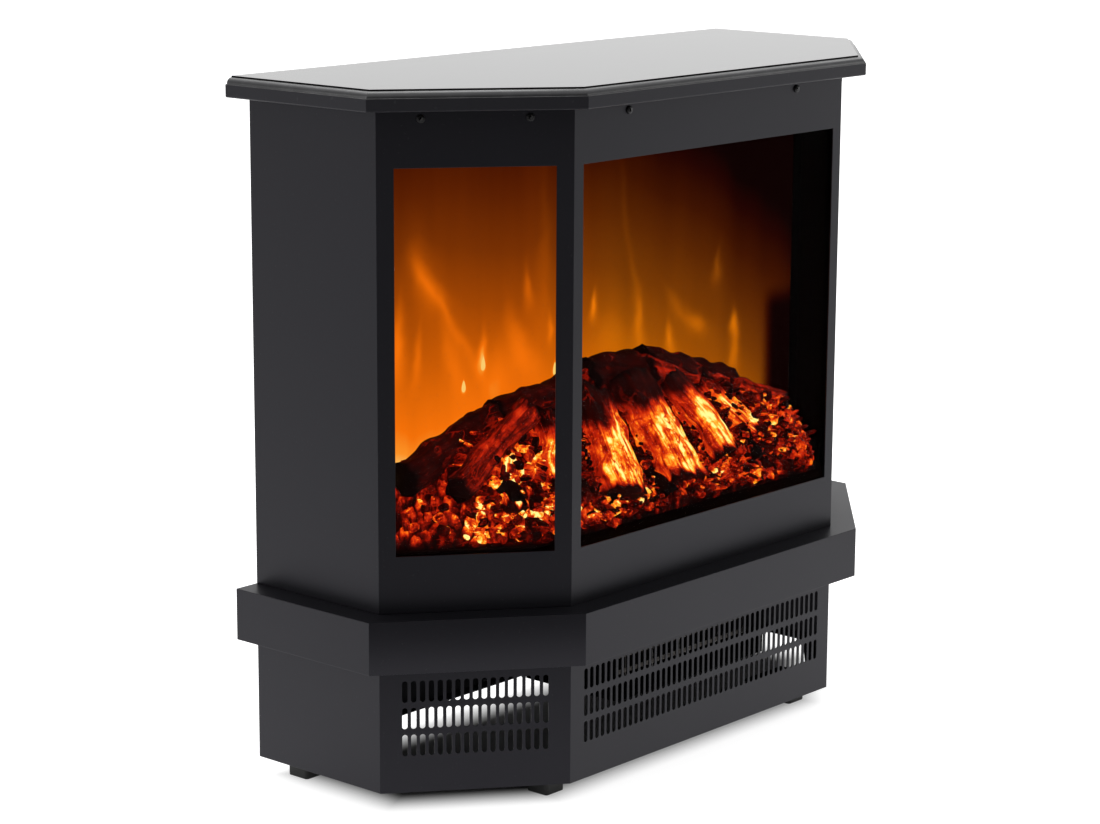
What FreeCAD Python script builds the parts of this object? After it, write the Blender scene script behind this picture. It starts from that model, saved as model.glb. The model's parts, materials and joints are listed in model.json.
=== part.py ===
import FreeCAD, Part
import math
import os

Vec = FreeCAD.Vector
UP = Vec(0, 0, 1)
ACROSS = Vec(1, 0, 0)
REAR = Vec(0, 1, 0)

# Plan of the bay-shaped casing and plinth, millimetres
body_width = 665.7
front_width = 394.5
body_depth = 265.3
side_depth = 156.9

# Heights, from the floor up
foot_height = 18.8
plinth_height = 118.4
ledge_height = 48.5

# Top board with its routed edge
board_band = 12.0
ovolo_radius = 5.6
board_lip = 1.4
ovolo_ledge = 1.8
lip_step = 0.9
ovolo_flat = 0.1
board_underside_round = 1.5
board_overhang = 22.3
board_back_overhang = 6.6

# Sheet metal
sheet = 1.2
casing_fold = 15.0
plinth_fold = 18.0
rear_fold = 14.0
fit_gap = 0.3
running_gap = 0.05
ledge_overhang = 24.8
ledge_back_overhang = 1.0
ledge_fold = 46.0

# Windows, panes and clips
window_sill = 52.25
window_height = 345.1
window_head = 50.95
side_window_margin = 15.5
front_window_margin = 12.4
glass_thickness = 4.0
glass_lap = 8.0
clip_sheet = 1.2
clip_width = 20.0
clip_inset = 32.0
clip_grip = 6.0
clip_seat = 14.0

# Slotted plinth faces
slot_width = 5.0
slot_length = 20.0
slot_pitch = 8.0
slot_row_pitch = 25.0
slot_rows = 3
slot_end_flats = 3
slot_top_row_drop = 24.1
grille_margin = 20.0

# Feet and the plates that carry them
foot_size = 25.0
foot_chamfer = 2.0
foot_stud_half = 2.6
foot_stud_proud = 2.5
foot_plate_size = 62.0
foot_plate_sheet = 2.0
front_foot_side_inset = 12.0
front_foot_depth_inset = 40.3
back_foot_side_inset = 32.1
back_foot_depth_inset = 30.0

# Screws
screw_head_radius = 3.8
screw_crown_radius = 2.6
screw_head_height = 2.2
head_rim_share = 0.45
head_sides = 8
flange_sides = 6
shank_sides = 6
screw_shank_radius = 1.9
screw_shank_length = 7.0
screw_hole_gap = 0.2
screw_drop = 8.2
side_screw_inset = 39.0
front_screw_inset = 73.6
back_screw_inset = 8.5
back_screw_end_inset = 18.5
bracket_sheet = 1.5
bracket_width = 24.0
bracket_drop = 24.0
bracket_reach = 22.0

# Flame screen and its channels
screen_setback = 116.5
screen_thickness = 3.0
screen_top_gap = 4.0
channel_depth = 12.0

# Ember tray, log bed and lamp strips
tray_gap = 2.5
deck_drop = 2.2
deck_rim = 34.0
bed_inset = 24.0
bed_wall = 7.0
bed_toe = 12.0
bed_height = 127.0
bed_slope = 92.0
bed_left_shoulder = 70.0
bed_left_fall = 72.0
bed_right_shoulder = 30.0
bed_right_fall = 108.0
bed_log_sides = 8
lamp_strip_length = 420.0
lamp_strip_width = 14.0
lamp_strip_sheet = 1.6
lamp_size = 5.0
lamp_height = 1.8
lamp_count = 9

# Flame rotor, its drive and the slit mask
rotor_setback = 58.0
rotor_height = 114.5
rotor_end_gap = 82.85
rod_radius = 3.0
rod_overrun = 12.0
vane_radius = 28.0
vane_length = 26.0
vane_tip = 6.5
vane_heel = 3.25
vane_heel_height = 22.4
vane_sheet = 0.8
vane_count = 14
vane_turn = 52.0
rotor_bracket_sheet = 1.5
rotor_bracket_width = 64.0
rotor_bracket_top = 34.0
rotor_bracket_foot = 22.0
bush_radius = 6.0
bush_flange_radius = 9.0
bush_flange = 2.0
motor_radius = 23.0
motor_sides = 18
motor_length = 19.0
motor_gear_half = 13.0
motor_gear_length = 7.0
mask_setback = 96.0
mask_height = 250.0
mask_foot = 13.0
mask_side_gap = 5.0
flame_slit_width = 30.0
flame_slit_height = 165.0
flame_slit_pitch = 78.0
flame_slit_count = 7
flame_slit_base = 62.0
flame_slit_waist = 50.0
flame_slit_shoulder = 99.0
flame_shoulder_width = 21.0

# Fan heater behind the front grille
heater_left = -130.0
heater_width = 220.0
heater_depth = 112.0
heater_height = 56.0
heater_inlet_margin = 12.0
wheel_radius = 20.0
wheel_setback = 78.0
wheel_end_gap = 4.0
wheel_disc = 1.6
wheel_blades = 12
blade_depth = 6.0
blade_sheet = 0.9
blade_rim = 0.3
blade_angle = 28.0
wheel_shaft_radius = 2.5
wheel_shaft_overrun = 14.0
wheel_bush_radius = 5.0
wheel_bush_length = 6.0
blower_core = 40.0
blower_core_length = 18.0
blower_chamfer = 4.0
blower_coil_length = 8.0
blower_coil_height = 12.0
element_setback = 16.0
element_depth = 12.0
element_height = 30.0
element_rail = 4.0
element_rail_spread = 15.0
element_fins = 11
element_fin_sheet = 0.8
cutout_radius = 8.0
cutout_height = 6.0
cutout_ear = 12.0
cutout_inset = 55.0
cutout_setback = 56.0

# Vents and switches in the back
vent_length = 70.0
vent_width = 5.0
vent_pitch = 14.0
vent_rows = 6
vent_drop = 60.0
vent_offset = 90.0
intake_width = 6.0
intake_length = 58.0
intake_pitch = 18.0
intake_count = 11
switch_spacing = 34.0
switch_drop = 78.0
switch_side_inset = 100.85
bezel_width = 15.0
bezel_height = 24.0
bezel_thickness = 2.0
well_width = 9.6
well_height = 18.6
well_depth = 9.5
switch_wall = 1.5
switch_depth = 20.0
rocker_clearance = 0.3
rocker_half_length = 8.0
rocker_valley = 1.9
rocker_rise = 1.5
rocker_skirt = 3.0
rocker_toe = 0.7
rocker_pin_radius = 1.0
rocker_pin_length = 1.0
rocker_tilt = 10.6

# Inlet bush for a mains lead
gland_side_inset = 70.85
gland_height = 46.0
gland_bore = 4.0
gland_barrel_radius = 7.5
gland_barrel_length = 14.0
gland_flange_radius = 11.0
gland_flange = 3.0

# Levels and planes worked out from the sizes above
half_width = body_width / 2
half_front = front_width / 2
back_y = (body_depth + ledge_overhang - board_back_overhang) / 2
front_y = back_y - body_depth
inner_back = back_y - sheet
plinth_z0 = foot_height
plinth_z1 = plinth_z0 + plinth_height
body_z0 = plinth_z1 + ledge_height
window_z0 = body_z0 + window_sill
window_z1 = window_z0 + window_height
body_z1 = window_z1 + window_head
deck_z = window_z0 - deck_drop
screen_y = back_y - screen_setback
channel_half = screen_thickness / 2 + fit_gap + sheet
tray_inset = sheet + glass_thickness + clip_sheet + tray_gap
tray_back = screen_y - channel_half - fit_gap
rotor_span = body_width - 2 * rotor_end_gap
rotor_y = back_y - rotor_setback
rotor_z = body_z0 + rotor_height
gland_x = half_width - gland_side_inset
same_place = 1e-6

# The five faces of the bay, counted from the left side round to the right side
LEFT_SIDE, LEFT_ANGLE, FRONT, RIGHT_ANGLE, RIGHT_SIDE = range(5)

nodes = {}


def outline(grow, back):
    """Corners of the bay plan, grown outwards on its five faces, from back left to back right."""
    run = half_width - half_front
    rise = body_depth - side_depth
    length = math.hypot(run, rise)
    normal = Vec(-rise / length, -run / length, 0)
    reach = normal.dot(Vec(-half_width, back_y - side_depth, 0)) + grow
    side_x = -(half_width + grow)
    knee_y = (reach - normal.x * side_x) / normal.y
    face_y = front_y - grow
    corner_x = (reach - normal.y * face_y) / normal.x
    left = [Vec(side_x, back, 0), Vec(side_x, knee_y, 0), Vec(corner_x, face_y, 0)]
    return left + [Vec(-p.x, p.y, 0) for p in reversed(left)]


def prism(points, z0, z1):
    low = [Vec(p.x, p.y, z0) for p in points]
    return Part.Face(Part.makePolygon(low + [low[0]])).extrude(UP * (z1 - z0))


def slab(grow, back, z0, z1):
    return prism(outline(grow, back), z0, z1)


def strip(face, outer, inner, z0, z1, back=back_y):
    """A mitred band along one face of the bay, between two offsets of the plan."""
    far, near = outline(outer, back), outline(inner, back)
    return prism([far[face], far[face + 1], near[face + 1], near[face]], z0, z1)


def box(x0, x1, y0, y1, z0, z1):
    return Part.makeBox(x1 - x0, y1 - y0, z1 - z0, Vec(x0, y0, z0))


def joined(first, *others):
    return first.fuse(list(others)).removeSplitter()


def face_axes(face):
    corners = outline(0, back_y)
    along = corners[face + 1] - corners[face]
    length = along.Length
    along.normalize()
    return corners[face], along, Vec(-along.y, along.x, 0), length


def face_length(face):
    return face_axes(face)[3]


def on_face(face, run, depth, z):
    """Point on a face of the bay: distance along it, depth behind its outer skin, height."""
    start, along, inward, _ = face_axes(face)
    place = start + along * run + inward * depth
    return Vec(place.x, place.y, z)


def face_block(face, run0, run1, depth0, depth1, z0, z1):
    corners = [on_face(face, run, depth, 0) for run, depth in
               ((run0, depth0), (run1, depth0), (run1, depth1), (run0, depth1))]
    return prism(corners, z0, z1)


def pin(radius, length, start, direction):
    return Part.makeCylinder(radius, length, start, direction)


def peg(sides, first_radius, last_radius, length, start, direction):
    """A straight or tapered many-sided bar, for pieces that repeat often."""
    rings = []
    for radius, height in ((first_radius, 0), (last_radius, length)):
        turns = [2 * math.pi * i / sides for i in range(sides)]
        ring = [Vec(radius * math.cos(t), radius * math.sin(t), height) for t in turns]
        rings.append(Part.makePolygon(ring + [ring[0]]))
    bar = Part.makeLoft(rings, True, True)
    bar.Placement = FreeCAD.Placement(start, FreeCAD.Rotation(UP, direction))
    return bar


def mirrored(shape):
    return shape.mirror(Vec(0, 0, 0), ACROSS)


# Top board: a band with a rounded underside, a quarter-round ovolo and a thin lip
def top_board():
    back = back_y + board_back_overhang
    z_ovolo = body_z1 + board_band
    z_lip = z_ovolo + ovolo_radius
    band = slab(board_overhang, back, body_z1, z_ovolo)
    ovolo = slab(board_overhang - ovolo_ledge, back, z_ovolo, z_lip)
    lip_overhang = board_overhang - ovolo_ledge - ovolo_radius - lip_step
    lip = slab(lip_overhang, back, z_lip, z_lip + board_lip)

    def routed_edges(shape, z):
        return [e for e in shape.Edges
                if all(abs(v.Z - z) < same_place for v in e.Vertexes)
                and not all(abs(v.Y - back) < same_place for v in e.Vertexes)]

    band = band.makeFillet(board_underside_round, routed_edges(band, body_z1))
    ovolo = ovolo.makeFillet(ovolo_radius - ovolo_flat, routed_edges(ovolo, z_lip))
    return joined(band, ovolo, lip)


nodes["top_board"] = top_board()


# Casing and plinth panels: a wall with folds at top and bottom, mitred to its neighbours
def panel(face, z0, z1, fold):
    wall = strip(face, 0, -sheet, z0, z1)
    upper = strip(face, 0, -fold, z1 - sheet, z1, inner_back)
    lower = strip(face, 0, -fold, z0, z0 + sheet, inner_back)
    parts = [upper, lower]
    if face in (LEFT_SIDE, RIGHT_SIDE):
        flange = box(-half_width, -half_width + fold, inner_back - sheet, inner_back, z0, z1)
        parts.append(flange if face == LEFT_SIDE else mirrored(flange))
    return joined(wall, *parts)


def back_screw_places():
    levels = (plinth_z0 + back_screw_end_inset, plinth_z1 - back_screw_end_inset,
              body_z0 + back_screw_end_inset, body_z1 - back_screw_end_inset)
    reach = half_width - sheet - back_screw_inset
    return [Vec(side * reach, back_y, z) for side in (-1, 1) for z in levels]


def casing_screw_places():
    places = []
    for face, inset in ((LEFT_ANGLE, side_screw_inset), (FRONT, front_screw_inset),
                        (RIGHT_ANGLE, side_screw_inset)):
        for run in (inset, face_length(face) - inset):
            places.append((face, run))
    return places


def screw_hole(place, inward):
    radius = screw_shank_radius + screw_hole_gap
    return peg(shank_sides, radius, radius, screw_shank_length + fit_gap, place - inward * fit_gap, inward)


def pan_screw(place, inward):
    rim = screw_head_height * head_rim_share
    crown = screw_head_height - rim
    shank = peg(shank_sides, screw_shank_radius, screw_shank_radius, screw_shank_length, place, inward)
    collar = peg(head_sides, screw_head_radius, screw_head_radius, rim, place, -inward)
    dome = peg(head_sides, screw_head_radius, screw_crown_radius, crown, place - inward * rim, -inward)
    return joined(collar, dome, shank)


back_holes = Part.makeCompound([screw_hole(p, -REAR) for p in back_screw_places()])
nodes["back_screws"] = Part.makeCompound([pan_screw(p, -REAR) for p in back_screw_places()])
nodes["casing_screws"] = Part.makeCompound(
    [pan_screw(on_face(face, run, 0, body_z1 - screw_drop), face_axes(face)[2])
     for face, run in casing_screw_places()])


def casing_screw_holes():
    return Part.makeCompound(
        [screw_hole(on_face(face, run, 0, body_z1 - screw_drop), face_axes(face)[2])
         for face, run in casing_screw_places()])


window_margin = {LEFT_ANGLE: side_window_margin, FRONT: front_window_margin,
                 RIGHT_ANGLE: side_window_margin}


def window_frame(face):
    margin = window_margin[face]
    opening = face_block(face, margin, face_length(face) - margin, -fit_gap, sheet + fit_gap,
                         window_z0, window_z1)
    return panel(face, body_z0, body_z1, casing_fold).cut(opening).cut(casing_screw_holes())


for name, face in (("left", LEFT_SIDE), ("right", RIGHT_SIDE)):
    nodes[f"{name}_side_panel"] = panel(face, body_z0, body_z1, casing_fold).cut(back_holes)
    nodes[f"plinth_{name}_side"] = panel(face, plinth_z0, plinth_z1, plinth_fold).cut(back_holes)


# Panes lap their openings from behind and are held by small stepped clips
def pane(face):
    margin = window_margin[face] - glass_lap
    return face_block(face, margin, face_length(face) - margin, sheet, sheet + glass_thickness,
                      window_z0 - glass_lap, window_z1 + glass_lap)


def pane_clips(face):
    clips = []
    pane_back = sheet + glass_thickness
    edges = ((window_z1 + glass_lap, 1), (window_z0 - glass_lap, -1))
    for run in (clip_inset, face_length(face) - clip_inset):
        span = (run - clip_width / 2, run + clip_width / 2)
        for edge, side in edges:
            seat = sorted((edge + side * fit_gap, edge + side * clip_seat))
            grip = sorted((edge - side * clip_grip, edge + side * clip_seat))
            foot = face_block(face, *span, sheet, pane_back, *seat)
            lip = face_block(face, *span, pane_back, pane_back + clip_sheet, *grip)
            clips.append(joined(foot, lip))
    return clips


bay_faces = (("left", LEFT_ANGLE), ("front", FRONT), ("right", RIGHT_ANGLE))
all_clips = []
for name, face in bay_faces:
    nodes[f"{name}_window_frame"] = window_frame(face)
    nodes[f"{name}_glass"] = pane(face)
    all_clips += pane_clips(face)
nodes["glass_clips"] = Part.makeCompound(all_clips)


# Angles under the top fold: the casing screws enter them and they carry the top board
def top_bracket(face, run):
    z_top = body_z1 - sheet
    span = (run - bracket_width / 2, run + bracket_width / 2)
    leg = face_block(face, *span, sheet, sheet + bracket_sheet, z_top - bracket_drop, z_top)
    arm = face_block(face, *span, sheet, sheet + bracket_reach, z_top - bracket_sheet, z_top)
    hole = screw_hole(on_face(face, run, 0, body_z1 - screw_drop), face_axes(face)[2])
    return joined(leg, arm).cut(hole)


nodes["top_brackets"] = Part.makeCompound([top_bracket(face, run) for face, run in casing_screw_places()])


# Slotted plinth faces: rows of round-ended slots, each end in three flats
def slot(face, run, z):
    radius = slot_width / 2
    reach = slot_length / 2 - radius
    corners = []
    for end, first in ((1, 0), (-1, 180)):
        for step in range(slot_end_flats + 1):
            turn = math.radians(first + 180 * step / slot_end_flats)
            corners.append((run + radius * math.cos(turn), z + end * reach + radius * math.sin(turn)))
    skin = [on_face(face, along, -fit_gap, height) for along, height in corners]
    inward = face_axes(face)[2]
    return Part.Face(Part.makePolygon(skin + [skin[0]])).extrude(inward * (sheet + 2 * fit_gap))


def grille(face):
    length = face_length(face)
    columns = int((length - 2 * grille_margin) / slot_pitch) + 1
    first = (length - (columns - 1) * slot_pitch) / 2
    slots = [slot(face, first + column * slot_pitch,
                  plinth_z1 - slot_top_row_drop - row * slot_row_pitch)
             for column in range(columns) for row in range(slot_rows)]
    return panel(face, plinth_z0, plinth_z1, plinth_fold).cut(Part.makeCompound(slots))


for name, face in bay_faces:
    nodes[f"plinth_{name}_grille"] = grille(face)


# Hearth ledge: a folded collar, closed on top, open to the plinth below
def hearth_ledge():
    back = back_y + ledge_back_overhang
    shell = slab(ledge_overhang, back, plinth_z1, body_z0)
    hollow = slab(ledge_overhang - sheet, back - sheet, plinth_z1 + sheet, body_z0 - sheet)
    mouth = slab(ledge_overhang - ledge_fold, back_y - rear_fold, plinth_z1 - sheet, plinth_z1 + 2 * sheet)
    return shell.cut(hollow).cut(mouth)


nodes["hearth_ledge"] = hearth_ledge()


# Back sheets, screwed on flanges of the side panels
switch_places = [Vec(half_width - switch_side_inset + (i - 1) * switch_spacing, back_y, body_z1 - switch_drop)
                 for i in range(3)]


def back_sheet(z0, z1):
    reach = half_width - sheet - fit_gap
    return box(-reach, reach, inner_back, back_y, z0, z1).cut(back_holes)


def through(x0, x1, z0, z1):
    return box(x0, x1, inner_back - fit_gap, back_y + fit_gap, z0, z1)


def back_panel():
    cuts = []
    reach_x = well_width / 2 + switch_wall + fit_gap
    reach_z = well_height / 2 + switch_wall + fit_gap
    for place in switch_places:
        cuts.append(through(place.x - reach_x, place.x + reach_x, place.z - reach_z, place.z + reach_z))
    for row in range(vent_rows):
        z = body_z1 - vent_drop - row * vent_pitch
        for x in (-vent_offset, vent_offset):
            cuts.append(through(x - vent_length / 2, x + vent_length / 2,
                                z - vent_width / 2, z + vent_width / 2))
    return back_sheet(body_z0, body_z1).cut(Part.makeCompound(cuts))


def plinth_back():
    middle = plinth_z0 + plinth_height / 2
    centre = heater_left + heater_width / 2
    reach = half_width - plinth_fold - fit_gap
    fold = box(-reach, reach, back_y - rear_fold, back_y, plinth_z0, plinth_z0 + sheet)
    cuts = [pin(gland_barrel_radius + running_gap, 2 * sheet + fit_gap,
                Vec(gland_x, inner_back - sheet, plinth_z0 + gland_height), REAR)]
    for i in range(intake_count):
        x = centre + (i - (intake_count - 1) / 2) * intake_pitch
        cuts.append(through(x - intake_width / 2, x + intake_width / 2,
                            middle - intake_length / 2, middle + intake_length / 2))
    return joined(back_sheet(plinth_z0, plinth_z1), fold).cut(Part.makeCompound(cuts))


nodes["back_panel"] = back_panel()
nodes["plinth_back"] = plinth_back()


# Feet on corner plates that lie on the bottom folds of the plinth
foot_places = {
    "front_left": Vec(-half_front + front_foot_side_inset, front_y + front_foot_depth_inset, 0),
    "back_left": Vec(-half_width + back_foot_side_inset, back_y - back_foot_depth_inset, 0),
}
for corner in ("front", "back"):
    left_place = foot_places[f"{corner}_left"]
    foot_places[f"{corner}_right"] = Vec(-left_place.x, left_place.y, 0)
plate_z = plinth_z0 + sheet


def upright_block(place, half, z0, z1):
    return box(place.x - half, place.x + half, place.y - half, place.y + half, z0, z1)


def foot(place):
    block = upright_block(place, foot_size / 2, 0, plate_z)
    block = block.makeChamfer(foot_chamfer, [e for e in block.Edges if abs(e.tangentAt(0).z) > 0.9])
    stud = upright_block(place, foot_stud_half, plate_z, plate_z + foot_plate_sheet + foot_stud_proud)
    return joined(block, stud)


def foot_plate(place):
    z_top = plate_z + foot_plate_sheet
    plate = upright_block(place, foot_plate_size / 2, plate_z, z_top)
    inside = slab(-sheet - fit_gap, inner_back - sheet - fit_gap, plate_z, z_top)
    hole = upright_block(place, foot_stud_half + running_gap, plate_z, z_top)
    return plate.common(inside).cut(hole)


for corner, place in foot_places.items():
    nodes[f"foot_{corner}"] = foot(place)
nodes["foot_plates"] = Part.makeCompound([foot_plate(p) for p in foot_places.values()])


# Flame screen in two channels against the side panels
def screen_channel():
    inner = half_width - sheet
    z0, z1 = body_z0 + sheet, body_z1 - sheet
    rail = box(inner - channel_depth, inner, screen_y - channel_half, screen_y + channel_half, z0, z1)
    reach = channel_half - sheet
    groove = box(inner - channel_depth, inner - sheet, screen_y - reach, screen_y + reach, z0, z1)
    return rail.cut(groove)


nodes["right_screen_channel"] = screen_channel()
nodes["left_screen_channel"] = mirrored(screen_channel())
screen_reach = half_width - 2 * sheet - fit_gap
nodes["flame_screen"] = box(-screen_reach, screen_reach, screen_y - screen_thickness / 2,
                            screen_y + screen_thickness / 2,
                            body_z0 + sheet, body_z1 - sheet - screen_top_gap)


# Ember tray: a deck with skirts that stand on the bottom folds of the casing
def ember_tray():
    z0 = body_z0 + sheet
    block = slab(-tray_inset, tray_back, z0, deck_z)
    hollow = slab(-tray_inset - sheet, tray_back + sheet, z0 - sheet, deck_z - sheet)
    reach = half_front - deck_rim
    light_opening = box(-reach, reach, front_y + tray_inset + deck_rim, tray_back - deck_rim,
                        z0, deck_z + sheet)
    return block.cut(hollow).cut(light_opening)


nodes["ember_tray"] = ember_tray()


# Log bed: a coal mound with sloping faces and shoulders, logs laid on it, hollow underneath
# Each log runs from one point to another: its place across the bed from the middle, from back to toe
# and up from the deck, as parts of the bed's half width, depth and height, then its two radii
bed_logs = (
    ((-0.100, 0.162, 1.024), (0.693, 0.233, 0.677), 19, 13),
    ((0.133, 0.268, 0.976), (0.900, 0.286, 0.433), 16, 11),
    ((-0.973, 0.268, 0.543), (-0.273, 0.179, 0.906), 16, 17),
    ((-0.500, 0.375, 0.819), (-0.873, 0.570, 0.425), 15, 13),
    ((-0.153, 0.357, 0.882), (-0.200, 0.854, 0.362), 17, 18),
    ((0.013, 0.357, 0.961), (0.040, 0.854, 0.378), 18, 17),
    ((0.193, 0.375, 0.898), (0.207, 0.819, 0.394), 14, 15),
    ((0.400, 0.339, 0.740), (0.533, 0.730, 0.331), 15, 14),
    ((-0.393, 0.428, 0.772), (-0.513, 0.766, 0.346), 14, 13),
)
bed_reach = half_width - tray_inset - bed_inset
bed_depth = tray_back - front_y - tray_inset - bed_inset


def bed_point(place):
    across, forward, up = place
    return Vec(across * bed_reach, tray_back - forward * bed_depth, deck_z + up * bed_height)


def bed_mound(inset):
    depth = tray_inset + bed_inset + inset
    top = deck_z + bed_height - inset
    toe = deck_z + bed_toe - inset
    mound = slab(-depth, tray_back - inset, deck_z, top)
    for face in (LEFT_ANGLE, FRONT, RIGHT_ANGLE):
        length = face_length(face)
        section = [on_face(face, -length, depth, toe), on_face(face, -length, depth + bed_slope, top),
                   on_face(face, -length, depth, top)]
        slope = Part.Face(Part.makePolygon(section + [section[0]]))
        mound = mound.cut(slope.extrude(face_axes(face)[1] * (3 * length)))
    for side, rest, fall in ((-1, bed_left_shoulder, bed_left_fall), (1, bed_right_shoulder, bed_right_fall)):
        section = [Vec(side * rest, front_y, top), Vec(side * half_width, front_y, top - fall),
                   Vec(side * half_width, front_y, top)]
        shoulder = Part.Face(Part.makePolygon(section + [section[0]]))
        mound = mound.cut(shoulder.extrude(REAR * body_depth))
    return mound


def bed_log(start, end, first_radius, last_radius):
    tail = bed_point(start)
    run = bed_point(end) - tail
    return peg(bed_log_sides, first_radius, last_radius, run.Length, tail, run)


def ember_bed():
    logs = [bed_log(*log) for log in bed_logs]
    bed = bed_mound(0).fuse(logs)
    above_deck = slab(-tray_inset - bed_inset / 2, tray_back, deck_z, body_z1)
    return bed.common(above_deck).cut(bed_mound(bed_wall))


nodes["ember_bed"] = ember_bed()


# Lamp strips lie on the ledge, one under the bed and one under the flame rotor
def lamp_strip(y):
    reach = lamp_strip_length / 2
    half = lamp_strip_width / 2
    top = body_z0 + lamp_strip_sheet
    strip_parts = [box(-reach, reach, y - half, y + half, body_z0, top)]
    pitch = lamp_strip_length / lamp_count
    for i in range(lamp_count):
        x = (i - (lamp_count - 1) / 2) * pitch
        strip_parts.append(box(x - lamp_size / 2, x + lamp_size / 2, y - lamp_size / 2,
                               y + lamp_size / 2, top, top + lamp_height))
    return joined(*strip_parts)


nodes["ember_lamp_strip"] = lamp_strip((front_y + tray_inset + tray_back) / 2)
nodes["flame_lamp_strip"] = lamp_strip(rotor_y)


# Flame rotor: a rod with staggered vanes, a bush on the left and a geared motor on the right
def flame_rotor():
    reach = rotor_span / 2
    rod = pin(rod_radius, rotor_span + 2 * rod_overrun, Vec(-reach - rod_overrun, rotor_y, rotor_z), ACROSS)
    vanes = []
    pitch = (rotor_span - 2 * vane_length) / vane_count
    for i in range(vane_count):
        x = (i - (vane_count - 1) / 2) * pitch
        corners = [Vec(x - vane_length / 2, 0, 0), Vec(x + vane_length / 2, 0, 0),
                   Vec(x + vane_tip, 0, vane_radius), Vec(x - vane_heel, 0, vane_heel_height)]
        vane = Part.Face(Part.makePolygon(corners + [corners[0]])).extrude(REAR * vane_sheet)
        vane.translate(Vec(0, -vane_sheet / 2, 0))
        vane.rotate(Vec(0, 0, 0), ACROSS, i * vane_turn)
        vane.translate(Vec(0, rotor_y, rotor_z))
        vanes.append(vane)
    return joined(rod, *vanes)


def rotor_bracket(side, hole_radius):
    inner = rotor_span / 2
    half = rotor_bracket_width / 2
    plate = box(inner, inner + rotor_bracket_sheet, rotor_y - half, rotor_y + half,
                body_z0, rotor_z + rotor_bracket_top)
    base = box(inner, inner + rotor_bracket_foot, rotor_y - half, rotor_y + half,
               body_z0, body_z0 + rotor_bracket_sheet)
    hole = pin(hole_radius, rotor_bracket_sheet, Vec(inner, rotor_y, rotor_z), ACROSS)
    bracket = joined(plate, base).cut(hole)
    return bracket if side > 0 else mirrored(bracket)


def rotor_bush():
    outer = Vec(-rotor_span / 2 - rotor_bracket_sheet, rotor_y, rotor_z)
    barrel = pin(bush_radius, rotor_bracket_sheet, outer, ACROSS)
    flange = peg(flange_sides, bush_flange_radius, bush_flange_radius, bush_flange, outer, -ACROSS)
    length = rotor_bracket_sheet + bush_flange
    bore = pin(rod_radius + running_gap, length, outer - ACROSS * bush_flange, ACROSS)
    return joined(barrel, flange).cut(bore)


def rotor_motor():
    start = Vec(rotor_span / 2 + rotor_bracket_sheet, rotor_y, rotor_z)
    can = peg(motor_sides, motor_radius, motor_radius, motor_length, start, ACROSS)
    x0 = start.x + motor_length
    gear_case = box(x0, x0 + motor_gear_length, rotor_y - motor_gear_half, rotor_y + motor_gear_half,
                    rotor_z - motor_gear_half, rotor_z + motor_gear_half)
    bore = pin(rod_radius + running_gap, rod_overrun, start, ACROSS)
    return joined(can, gear_case).cut(bore)


nodes["flame_rotor"] = flame_rotor()
nodes["rotor_bearing_bracket"] = rotor_bracket(-1, bush_radius + running_gap)
nodes["rotor_motor_bracket"] = rotor_bracket(1, bush_radius)
nodes["rotor_bush"] = rotor_bush()
nodes["rotor_motor"] = rotor_motor()


# Slit mask between rotor and screen: leaf-shaped slits let the moving light through
def flame_mask():
    y = back_y - mask_setback
    reach = half_width - sheet - casing_fold - mask_side_gap
    plate = box(-reach, reach, y - sheet, y, body_z0, body_z0 + mask_height)
    base = box(-reach, reach, y - mask_foot, y, body_z0, body_z0 + sheet)
    slits = []
    for i in range(flame_slit_count):
        x = (i - (flame_slit_count - 1) / 2) * flame_slit_pitch
        z0 = body_z0 + flame_slit_base
        waist, shoulder = z0 + flame_slit_waist, z0 + flame_slit_shoulder
        half, slim = flame_slit_width / 2, flame_shoulder_width / 2
        leaf = [Vec(x, y, z0), Vec(x + half, y, waist), Vec(x + slim, y, shoulder),
                Vec(x, y, z0 + flame_slit_height), Vec(x - slim, y, shoulder), Vec(x - half, y, waist)]
        slits.append(Part.Face(Part.makePolygon(leaf + [leaf[0]])).extrude(-REAR * sheet))
    return joined(plate, base).cut(Part.makeCompound(slits))


nodes["flame_mask"] = flame_mask()


# Fan heater: a housing against the front grille with a cross-flow wheel and a finned element
heater_right = heater_left + heater_width
heater_y0 = front_y + sheet
heater_y1 = heater_y0 + heater_depth
heater_z1 = plinth_z1 - sheet
heater_z0 = heater_z1 - heater_height
wheel_y = heater_y0 + wheel_setback
wheel_z = (heater_z0 + heater_z1) / 2


def heater_housing():
    shell = box(heater_left, heater_right, heater_y0, heater_y1, heater_z0, heater_z1)
    hollow = box(heater_left + sheet, heater_right - sheet, heater_y0, heater_y1 - sheet,
                 heater_z0 + sheet, heater_z1 - sheet)
    margin = heater_inlet_margin
    inlet = box(heater_left + margin, heater_right - margin, heater_y1 - 2 * sheet, heater_y1 + sheet,
                heater_z0 + margin, heater_z1 - margin)
    left_wall = Vec(heater_left - sheet / 2, wheel_y, wheel_z)
    right_wall = Vec(heater_right - 1.5 * sheet, wheel_y, wheel_z)
    seat = pin(wheel_bush_radius + running_gap, 2 * sheet, left_wall, ACROSS)
    passage = pin(wheel_bush_radius, 2 * sheet, right_wall, ACROSS)
    return shell.cut(hollow).cut(inlet).cut(seat).cut(passage)


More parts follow.
